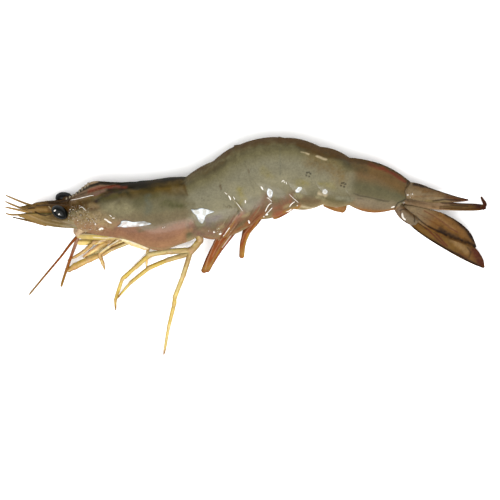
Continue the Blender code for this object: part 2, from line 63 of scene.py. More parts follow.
# ---------------------------------------------------------------------------- sizes

# Height of the plane of symmetry over the floor, by x.
MIDPLANE_X = (-80.0, -58.0, -45.0, -20.0, 30.0, 56.0, 80.0)
MIDPLANE_Z = (7.2, 7.6, 8.2, 8.2, 7.8, 5.6, 5.0)

EDGE_TUCK = 0.8          # half width at the plates' lower edge, as a share of the widest
WIDEST = math.pi - math.asin(EDGE_TUCK)
SHELL_THICKNESS = 0.3
SHELL_STEP = 0.05        # how far each plate's rear edge stands proud of the next one
PLATE_OVERLAP = 2.0      # how far each plate reaches under the one before it
TUCK_ROWS = 5            # rows of its grid that lie there
TUCK_DEPTH = 0.35
LIP_HEIGHT = 0.16        # of each plate's rear edge low on the flank
LIP_START = (0.66, 0.92)  # shares down the flank and along the plate where it starts
KEEL_WIDTH = 0.7
SIDE_BULGE = 0.3
FLESH_INSET = 0.5        # how far the flesh lies under the shell
FLANK_COLUMNS = 0.74     # share of the flesh's columns that lie under the plates
BELLY_RECESS = 2.2
BELLY_HALF = 8.5         # half width of the body at which the recess is full
BELLY_RIDGE = 0.2        # depth of the belly's cross furrows, as a share of the recess
RIDGE_ROWS = 12          # rows of the flesh's grid from one furrow to the next

# Columns and rows of the pieces' grids.
CARAPACE_GRID = (160, 110)
PLATE_GRID = (150, 40)
SIXTH_PLATE_GRID = (150, 56)
FLESH_COLUMNS = 60
FLESH_HEAD_ROWS = 40
FLESH_PLATE_ROWS = 12
ROSTRUM_GRID = (40, 240)
BLADE_GRID = (64, 90)
EYE_GRID = (56, 36)
FILM_GRID = (96, 24)
BEAD_GRID = (16, 24)
DROP_GRID = (10, 6)

# Carapace: x, height of the back, height of the lower edge, half width.
CARAPACE_STATIONS = (
    (-60.4, 17.8, 10.9, 3.6), (-58, 19.1, 10.2, 4.8), (-55.3, 20.6, 9.4, 5.8), (-52, 22.1, 9, 6.6),
    (-48, 23.3, 8.4, 7.2), (-44, 24.2, 7.9, 7.7), (-40, 24.8, 7.1, 8.1), (-36, 25.1, 5.5, 8.4),
    (-32, 25.4, 3.7, 8.5), (-28.7, 25.9, 3.7, 8.5), (-25.3, 26.4, 5.3, 8.5), (-22, 26.6, 6.8, 8.4),
    (-19.8, 26.6, 8.6, 8.3),
)
REAR_FORM_POWER = 3      # how late the carapace takes on the form of its rear edge
FACE_SLANT = 2.6         # how far the lower front corner lies behind the eye's notch
FACE_DEPTH = 9.0         # how far back that slant reaches
FACE_CURL = 0.9          # how far the front edge turns in
FACE_CURL_LENGTH = 0.05  # share of the carapace's length that turns in

# Rear edges of the carapace and of the six tail plates, seen from the side: on the back, at
# the hinge, at the corner and at the lower end, and the half width there.
REAR_EDGES = (
    ((-19.8, 26.6), (-20.2, 25.2), (-18.3, 18.2), (-15.7, 8.6), 8.3),
    ((-11.2, 32), (-8.3, 26.2), (-2.7, 18.9), (-7.6, 7.8), 8.3),
    ((-2, 38.1), (0.9, 30.9), (8.8, 20.7), (4.3, 14.3), 8.3),
    ((12.7, 40.3), (11.2, 32.7), (17.6, 20.6), (15.6, 17.9), 8),
    ((24.5, 37.2), (21.4, 31.1), (25.6, 21.6), (25.2, 19.3), 7.3),
    ((34.1, 33.1), (31.8, 27.7), (34.3, 20.6), (33.9, 18.6), 6.3),
    ((54.3, 23.9), (52.6, 22.6), (53, 20.2), (49.6, 16.1), 4.7),
)
BACK_BULGE = (0.5, 0.7, 1.1, 1.0, 0.9, 2.0)
LOWER_BULGE = (0.8, 0.7, 0.8, 0.9, 0.7, 1.9)
KEEL_HEIGHT = (0.0, 0.0, 0.0, 0.15, 0.25, 0.35)
TAIL_PLATES = 6

# Furrows and ridges pressed into the shell: points, width and height.
CARAPACE_RELIEF = (
    (((-49.5, 20.4), (-46.3, 22.4), (-43.7, 23.2), (-40.3, 23.8), (-36, 24.4)), 0.55, -0.35),
    (((-58, 18.6), (-54, 20.2), (-50.3, 21.3), (-47, 21.9)), 0.45, 0.3),
    (((-57.5, 13.6), (-53, 14.2), (-48.5, 15.4), (-45, 17.6), (-41.5, 21)), 0.8, -0.22),
    (((-45, 17.2), (-42, 16.4), (-38, 16.6)), 0.7, -0.12),
)
SHELL_WAVES = 0.10       # height of the soft unevenness of the shell
WAVE_LENGTH = 7.0

# Limbs: length of a joint's swelling and of a rounded tip, and the swelling as a share.
JOINT_LENGTH = 0.8
TIP_LENGTH = 0.9
SWELLING = 0.08
# Glows multiply a limb's paint. This is painted light: brighter paint where light passes through thin parts
# or where they lie in shade.
LEG_GLOW = 1.35          # thin legs let light through: their paint is brightened, painted light
ROOT_GLOW = 1.55
MOUTH_GLOW = 1.2
FLAGELLUM_GLOW = 1.3
ANTENNA_GIRTH = 1.12
FAR_GLOW = 1.5           # the far limbs lie in the near ones' shade and are painted brighter: painted light
SWIM_GLOW = 1.1
LEG_GIRTH = 0.88
REAR_LEGS = "45"         # the numbers of the straw yellow legs; the others are tan

# Rostrum: height of its toothed ridge and of its keel along x, and the teeth.
RIDGE = (
    (-36, 25), (-43.5, 25.1), (-49, 25.4), (-51.3, 25), (-53.4, 23.5), (-57.6, 20), (-63.3, 17.6),
    (-70, 17.2),
)
RIDGE_KEEL = ((-36.0, 21.0), (-50.0, 19.0), (-58.0, 16.6), (-66.0, 16.4), (-70.0, 16.9))
ROSTRUM_HALF = 0.75
TOOTH_COUNT = 8
TOOTH_START = -51.6
TOOTH_PITCH = 0.92
TOOTH_PITCH_GAIN = 0.015
TOOTH_RISE = 0.55
TOOTH_LEAN = 0.85

# Eyes: centre, root of the stalk, and the long axis' angle against +X in degrees.
EYES = {
    "left": ((-61.5, 16.3, 13.2), (-59.4, 15.8, 10), -34),
    "right": ((-60.5, 17.2, 2.6), (-59.2, 16.6, 5.4), -8),
}
EYE_HALF = (3.0, 2.05, 2.15)
STALK_RADIUS = 1.35

# Blades: x, y, z, half width and half thickness; a tilt is the width's angle against the
# floor in degrees.
SCALE_BLADE = (
    (-53, 12.6, 11.4, 2.7, 0.75), (-60.5, 12.9, 11.6, 2.6, 0.6), (-66, 13.1, 11.2, 2.2, 0.5),
    (-71, 13.7, 10.6, 1.35, 0.4), (-75.4, 13.9, 9.9, 0.35, 0.25),
)
SCALE_TILT = 10.0
SCALE_SPINE = ((-66.0, 11.0, 11.4, 0.5), (-71.0, 12.2, 10.8, 0.42), (-77.6, 13.2, 9.6, 0.22))
SCALE_DROP = 0.8
FAN_BLADES = {
    "telson": (
        (50, 21.3, 6, 3, 3), (56, 20.6, 5.6, 3.3, 2.9), (60.5, 19.4, 5.4, 2.8, 2.4),
        (65.5, 18.5, 5.2, 2.1, 1.6), (70, 17.8, 5.1, 1.3, 0.9), (73.9, 17.5, 5, 0.3, 0.25),
    ),
    "fan_right": (
        (51, 17.2, 4, 2, 1.2), (57.5, 15.7, 3.4, 2.6, 0.85), (64, 14.9, 3, 2.4, 0.65),
        (71, 14.2, 2.8, 2, 0.55), (77, 14, 2.6, 1.8, 0.5), (80, 14, 2.6, 0.9, 0.4),
    ),
    "fan_left_outer": (
        (53.8, 12.4, 7.2, 1.6, 0.9), (58.4, 8.8, 6.3, 2.4, 0.6), (63.5, 5.3, 5.2, 2.9, 0.5),
        (69.4, 1.5, 4.2, 3.2, 0.5), (74.5, -2.1, 3.5, 2.9, 0.45), (78, -5.3, 3.2, 1.8, 0.4),
        (79.8, -7.5, 3.1, 0.4, 0.3),
    ),
    "fan_left_inner": (
        (52, 15.2, 7, 1.6, 0.9), (55.4, 13.9, 7, 2.4, 0.8), (59.5, 12.2, 6.8, 3, 0.65),
        (64.5, 9.6, 6.1, 3.7, 0.55), (69.5, 6.6, 5.4, 3.4, 0.5), (73.3, 3.8, 4.8, 2.4, 0.45),
        (76.6, 0.2, 4.2, 0.6, 0.35),
    ),
}
BLADE_RIB = 0.25         # height of a rib, as a share of the blade's thickness
TELSON_RIB = 0.1
FAN_TILTS = {"telson": 88.0, "fan_right": 105.0, "fan_left_outer": -4.0, "fan_left_inner": 0.0}
FAN_LIMBS = {
    "fan_foot_left": (
        (49.5, 17.4, 7.4, 1.3), (52, 14.1, 7.8, 1.9), (54.8, 11.7, 7.6, 1.9), (57, 10.4, 7, 1.2),
    ),
    "fan_foot_right": ((48.5, 18.6, 4, 1.3), (52, 16.4, 3.9, 1.7), (57, 15.3, 3.4, 1.1)),
    "fan_right_hem": (
        (78.6, 13.6, 3, 0.9), (79.6, 14.9, 2.4, 0.75), (79, 16.2, 2, 0.5), (78.2, 17.5, 1.6, 0.4),
    ),
}

# Feelers and limbs: x, y, z and radius at each joint, from the body outwards.
ANTENNULES = {
    "antennule_left": (
        (-56.5, 16, 9.4, 1.7), (-61.5, 16.2, 9.8, 1.7), (-66.5, 16.2, 9.7, 1.5),
        (-70.5, 15.7, 9.4, 1.15), (-72.7, 15.4, 9.1, 0.7),
    ),
    "antennule_right": (
        (-56.5, 16.6, 6, 1.6), (-61.5, 16.2, 5.7, 1.5), (-66, 15.9, 5.5, 1.4), (-69.5, 15.5, 5.1, 1.15),
        (-71.7, 15, 4.6, 0.6),
    ),
}
FLAGELLA = {
    "flagellum_left_outer": (
        (-70.5, 15.2, 9.5, 0.5), (-73.3, 15.2, 9.4, 0.42), (-77.5, 15.7, 8.2, 0.36),
        (-80.2, 15.9, 7.2, 0.24),
    ),
    "flagellum_left_inner": (
        (-70.5, 14.9, 9.6, 0.5), (-73.6, 14.2, 9.6, 0.4), (-77.6, 13.6, 8.5, 0.36),
        (-80, 13.7, 7.4, 0.24),
    ),
    "flagellum_right_outer": (
        (-69.5, 15.4, 4.8, 0.5), (-71.8, 15.4, 4.2, 0.42), (-75.2, 16.4, 3.4, 0.36),
        (-77.6, 17.3, 3, 0.33), (-80.2, 18.3, 2.4, 0.24),
    ),
    "flagellum_right_inner": (
        (-69.5, 15, 5.6, 0.5), (-73, 14.5, 6, 0.42), (-77.6, 15.8, 5, 0.36), (-80.3, 16.8, 4.2, 0.24),
    ),
}
ANTENNA_FEET = {
    "antenna_foot_left": (
        (-52, 10.6, 10.6, 1.8), (-54.6, 9.6, 11.4, 1.3), (-55.6, 8.2, 11.8, 0.95),
        (-55.5, 7, 11.8, 0.8),
    ),
    "antenna_foot_right": (
        (-52, 10.6, 6, 1.9), (-55.4, 9, 5.4, 1.6), (-56.4, 6.6, 5.6, 1.1), (-55.6, 4.4, 5.9, 0.9),
    ),
}
ANTENNAE = {
    "antenna_left": (
        (-55.5, 7.8, 11.8, 0.46), (-58.7, 3.2, 9.6, 0.4), (-62, -2.5, 6.2, 0.36),
        (-67.3, -10.2, 3, 0.34), (-73.2, -18.4, 1, 0.28),
    ),
    "antenna_right": (
        (-55.8, 5.2, 5.9, 0.55), (-58.6, -3.3, 4, 0.45), (-60.4, -9, 2.4, 0.42),
        (-62.3, -15.3, 1.4, 0.38),
    ),
}
LEG_ROOTS = (
    (-29.4, 9.4, 9.6, 1.2), (-31, 5.6, 11, 1.4), (-33.6, 3.7, 11.4, 1.4), (-37.6, 4.9, 11.2, 1.3),
    (-41.4, 6.6, 11.2, 1),
)
MOUTH_LIMBS = {
    "mouth_limb_left": (
        (-37.5, 8.4, 10.6, 1.3), (-41.7, 7.1, 12, 0.7), (-46, 7.2, 12.6, 0.85),
        (-50.3, 7.5, 12.4, 1.15), (-54.2, 7.4, 11.8, 1.15), (-56.4, 7.3, 11.4, 0.7),
    ),
    "mouth_limb_right": (
        (-37.5, 7.6, 6.4, 1.3), (-42.6, 4.2, 5.4, 0.9), (-48.2, 2.7, 4.8, 1), (-55, 2.3, 4.8, 1),
        (-57.2, 2.7, 4.8, 0.7),
    ),
}
LEGS = {
    "leg_1_left": (
        (-37.6, 7.6, 9.8, 1.4), (-42.3, 5.8, 10.6, 0.75), (-45.7, 2.4, 9, 0.65), (-48.8, -0.9, 7, 0.6),
        (-48.6, -2.6, 6.2, 0.8), (-47.9, -5.4, 4.8, 0.7), (-47.3, -8.3, 3.6, 0.3),
    ),
    "leg_2_left": (
        (-33.5, 6, 9.6, 1.5), (-38.6, 4.4, 9.6, 0.95), (-44.3, 1, 7.2, 0.8), (-47.8, -1.5, 5.8, 0.9),
        (-52.6, -4.2, 4, 1.25), (-57.5, -7.3, 2.8, 1.25), (-60.2, -9.2, 2.2, 0.95),
    ),
    "leg_3_left": (
        (-40, 7.6, 8.6, 1), (-47.3, 4.6, 8.2, 0.75), (-50.5, 3.6, 7.5, 0.75), (-52.8, 0.7, 6, 0.7),
        (-54.5, -1.1, 5, 0.65), (-57.2, -3.3, 3.8, 0.6), (-59.9, -5.1, 2.8, 0.25),
    ),
    "leg_4_left": (
        (-17.5, 9.6, 10.4, 1.6), (-15.2, 6.2, 11.2, 1.15), (-18.2, 1.8, 10, 1.05), (-25.3, 0.9, 9.4, 1),
        (-32, -0.6, 8.6, 0.9), (-36.7, -6, 6, 0.8), (-41.4, -11.2, 4, 0.75), (-44, -19.8, 2, 0.6),
        (-44, -24.2, 1, 0.3),
    ),
    "leg_5_left": (
        (-17.6, 9.2, 8.8, 1.4), (-15.4, 4.6, 8.9, 1.1), (-18.3, 0.5, 8, 1), (-21, -9.5, 5.2, 0.98),
        (-23.9, -18.1, 3.2, 0.85), (-24.2, -20.9, 2.8, 0.85), (-26.2, -30.1, 1.6, 0.65),
        (-27.6, -38.6, 0.9, 0.48), (-28, -40.8, 0.8, 0.25),
    ),
    "leg_1_right": (
        (-36.6, 9.6, 6.9, 1.3), (-42, 5.2, 6.2, 1.15), (-45.5, 3.4, 5.6, 1.15), (-49.8, 0, 4.3, 1.05),
        (-54.7, -4, 2.7, 0.45),
    ),
    "leg_2_right": (
        (-34, 7, 6.2, 1.3), (-38.8, 3.6, 4.6, 0.85), (-44, 1.4, 3.4, 0.85), (-47.6, -1.2, 2.8, 0.85),
        (-51.6, -3.8, 1.9, 0.9), (-55.8, -6.2, 1.3, 0.3),
    ),
    "leg_3_right": (
        (-31.5, 6, 7.6, 1.3), (-32.6, 0.8, 6, 0.75), (-33.2, -3.4, 4.4, 0.5), (-33.4, -7.9, 3, 0.3),
    ),
    "leg_4_right": (
        (-17.4, 9, 7.4, 1.4), (-15.1, 4, 7.4, 1.05), (-18.8, -0.8, 7, 1), (-26, -3.7, 5.6, 0.95),
        (-32.4, -7.2, 4.2, 0.9), (-38.7, -13.3, 2.3, 0.7), (-43.6, -19.8, 1, 0.3),
    ),
    "leg_5_right": (
        (-17.4, 9.4, 6, 1.3), (-15.3, 3, 5, 1), (-18.5, -1, 4.2, 0.95), (-25, -2, 2.9, 0.9),
        (-31.5, -3.2, 2.2, 0.8), (-36.9, -7.9, 1.2, 0.65), (-41, -12.8, 0.9, 0.35),
    ),
}
SWIM_LIMBS = {
    "swim_1_left_outer": (
        (-3.6, 12.2, 11, 1.7), (-7.6, 7.4, 11.4, 1.7), (-10.4, 1.8, 9.4, 1.35), (-12.7, -4, 7.2, 1.25),
        (-14.4, -8.3, 5.8, 0.95),
    ),
    "swim_1_left_inner": (
        (-2, 12.4, 10, 1.6), (-5.8, 7, 10, 1.6), (-9.2, 1, 8.4, 1.25), (-11.8, -4.4, 6.4, 1.15),
        (-13.3, -8.3, 5.2, 0.9),
    ),
    "swim_1_right": (
        (-4.4, 11.6, 6.4, 1.2), (-7.6, 6, 5.8, 1.2), (-10.2, 0.6, 4.6, 1.1), (-12.4, -5.6, 3.2, 0.6),
    ),
    "swim_2_left": (
        (5.9, 17.2, 11.2, 1.6), (3, 12.6, 11.6, 1.5), (0.5, 8.4, 10.4, 1.2), (-1, 3.4, 8.4, 1.05),
        (-1.5, -2.9, 6.1, 0.9),
    ),
    "swim_2_right": ((5, 17, 6, 1.3), (2.4, 11.6, 5.6, 1.1), (-0.2, 6, 4.4, 1), (-1, 0.4, 3.2, 0.6)),
    "swim_3_left": (
        (16.4, 19.6, 11.6, 1.5), (13.6, 17.2, 12, 1.5), (10.8, 14.8, 11.4, 1.2), (9, 13.1, 10.8, 0.5),
    ),
    "swim_3_right": ((16, 19.4, 5.6, 1.4), (13, 16.6, 5, 1.3), (9.8, 14.4, 4.6, 0.7)),
    "swim_4_left": ((24.4, 19.8, 10.4, 1.3), (20.6, 18.4, 11, 1.2), (17.6, 17.2, 10.8, 0.6)),
    "swim_4_right": ((24, 19.8, 5.6, 1.3), (20.2, 18, 5.2, 1.2), (17.2, 16.8, 5.2, 0.6)),
    "swim_5_left": ((26, 18.9, 10.4, 1.6), (29.6, 17.9, 11.2, 1.9), (33.2, 16.6, 10.9, 1.6)),
    "swim_5_right": ((29.6, 19.6, 5.6, 1.2), (31.2, 16.9, 5.2, 1.3), (34, 16.3, 5.2, 0.6)),
}

# ---------------------------------------------------------------------------- paints

# Colours from 0 to 255, as the photo shows them. ALBEDO turns them into what the shell keeps
# of the light.
ALBEDO = 0.33
BRIGHTEST = 0.95         # no paint keeps more of the light than this
PAINTS = {
    "back_line": (34, 27, 9), "back_brown": (115, 92, 40), "olive_brown": (96, 86, 60),
    "carapace_mid": (133, 125, 92), "carapace_low": (142, 125, 94), "dark_olive": (71, 64, 36),
    "deep_green": (92, 89, 51), "blue_grey": (104, 108, 92), "beige": (163, 152, 114),
    "speckled_tan": (176, 151, 107), "rust": (176, 86, 60), "rust_pale": (160, 98, 68),
    "plum": (56, 39, 37), "low_brown": (131, 116, 84), "salmon": (168, 121, 91),
    "salmon_deep": (183, 136, 98), "mauve": (150, 112, 94), "mauve_grey": (128, 114, 104),
    "pink_grey": (174, 152, 110), "clay": (176, 146, 104), "cream": (224, 204, 164),
    "abdomen_upper": (134, 126, 90), "abdomen_grey": (147, 141, 114), "abdomen_mid": (157, 149, 118),
    "abdomen_low": (117, 107, 74), "abdomen_olive": (152, 140, 84), "abdomen_red": (140, 107, 79),
    "yellow_brown": (132, 105, 58), "umber": (96, 70, 34), "ink": (36, 32, 22),
    "sixth_upper": (129, 101, 63), "sixth_red": (139, 57, 29), "sixth_teal": (111, 104, 72),
    "sixth_mid": (118, 109, 77), "sixth_low": (150, 133, 106), "orange": (168, 115, 64),
    "flesh": (168, 140, 112), "face_brown": (89, 60, 21), "tooth": (196, 184, 156),
    "rose_grey": (149, 122, 94), "eye_black": (8, 10, 8), "eye_grey": (62, 72, 76),
    "feeler_tan": (178, 141, 81), "feeler_brown": (102, 70, 29), "feeler_red": (163, 84, 26),
    "feeler_dark": (52, 34, 16), "scale_tan": (139, 116, 68), "scale_pale": (190, 164, 128),
    "scale_edge": (86, 80, 36), "straw": (227, 197, 96), "straw_pale": (242, 224, 160),
    "straw_grey": (206, 184, 142), "leg_gold": (170, 130, 44), "leg_pink": (208, 166, 138),
    "leg_shade": (178, 148, 98), "leg_core": (222, 194, 130), "leg_tip": (150, 96, 54),
    "leg_tan": (212, 168, 98), "swim_dark": (112, 50, 28), "swim_gold": (190, 145, 62),
    "swim_red": (159, 84, 38), "swim_orange": (182, 130, 62), "swim_pale": (206, 160, 124),
    "flap": (164, 113, 58), "fan_brown": (128, 88, 40), "fan_olive": (160, 125, 79),
    "fan_dark": (30, 14, 6), "fan_tip": (91, 41, 19), "fan_orange": (124, 89, 37),
    "telson_grey": (148, 125, 92), "hem": (72, 27, 6), "far_tan": (240, 198, 150),
    # The two last paints are white painted highlights for the water.
    "vein": (104, 48, 28), "painted_water_highlight": (236, 246, 252), "glint": (252, 246, 236),
}

# Shares of the way from the back to the lower edge, with their paints.
# The darkest paint at the back is partly the shell's own dark back line and partly painted shade where the
# round back turns away from the light.
CARAPACE_BANDS = (
    (0, "back_line"), (0.04, "back_line"), (0.08, "back_brown"), (0.2, "olive_brown"),
    (0.36, "carapace_mid"), (0.55, "carapace_low"), (0.7, "salmon"), (1, "salmon_deep"),
)
TAIL_BANDS = (
    (0, "umber"), (0.03, "umber"), (0.06, "olive_brown"), (0.12, "abdomen_upper"),
    (0.28, "abdomen_grey"), (0.55, "abdomen_mid"), (0.85, "abdomen_low"), (1, "pink_grey"),
)
SIXTH_BANDS = (
    (0, "umber"), (0.02, "umber"), (0.05, "sixth_upper"), (0.2, "sixth_upper"), (0.42, "sixth_teal"),
    (0.6, "sixth_mid"), (0.8, "sixth_low"), (1, "orange"),
)
HEAD_END = -20.5         # where the carapace's bands pass into the tail's
SIXTH_START = 33.0
BAND_BLEND = 1.6

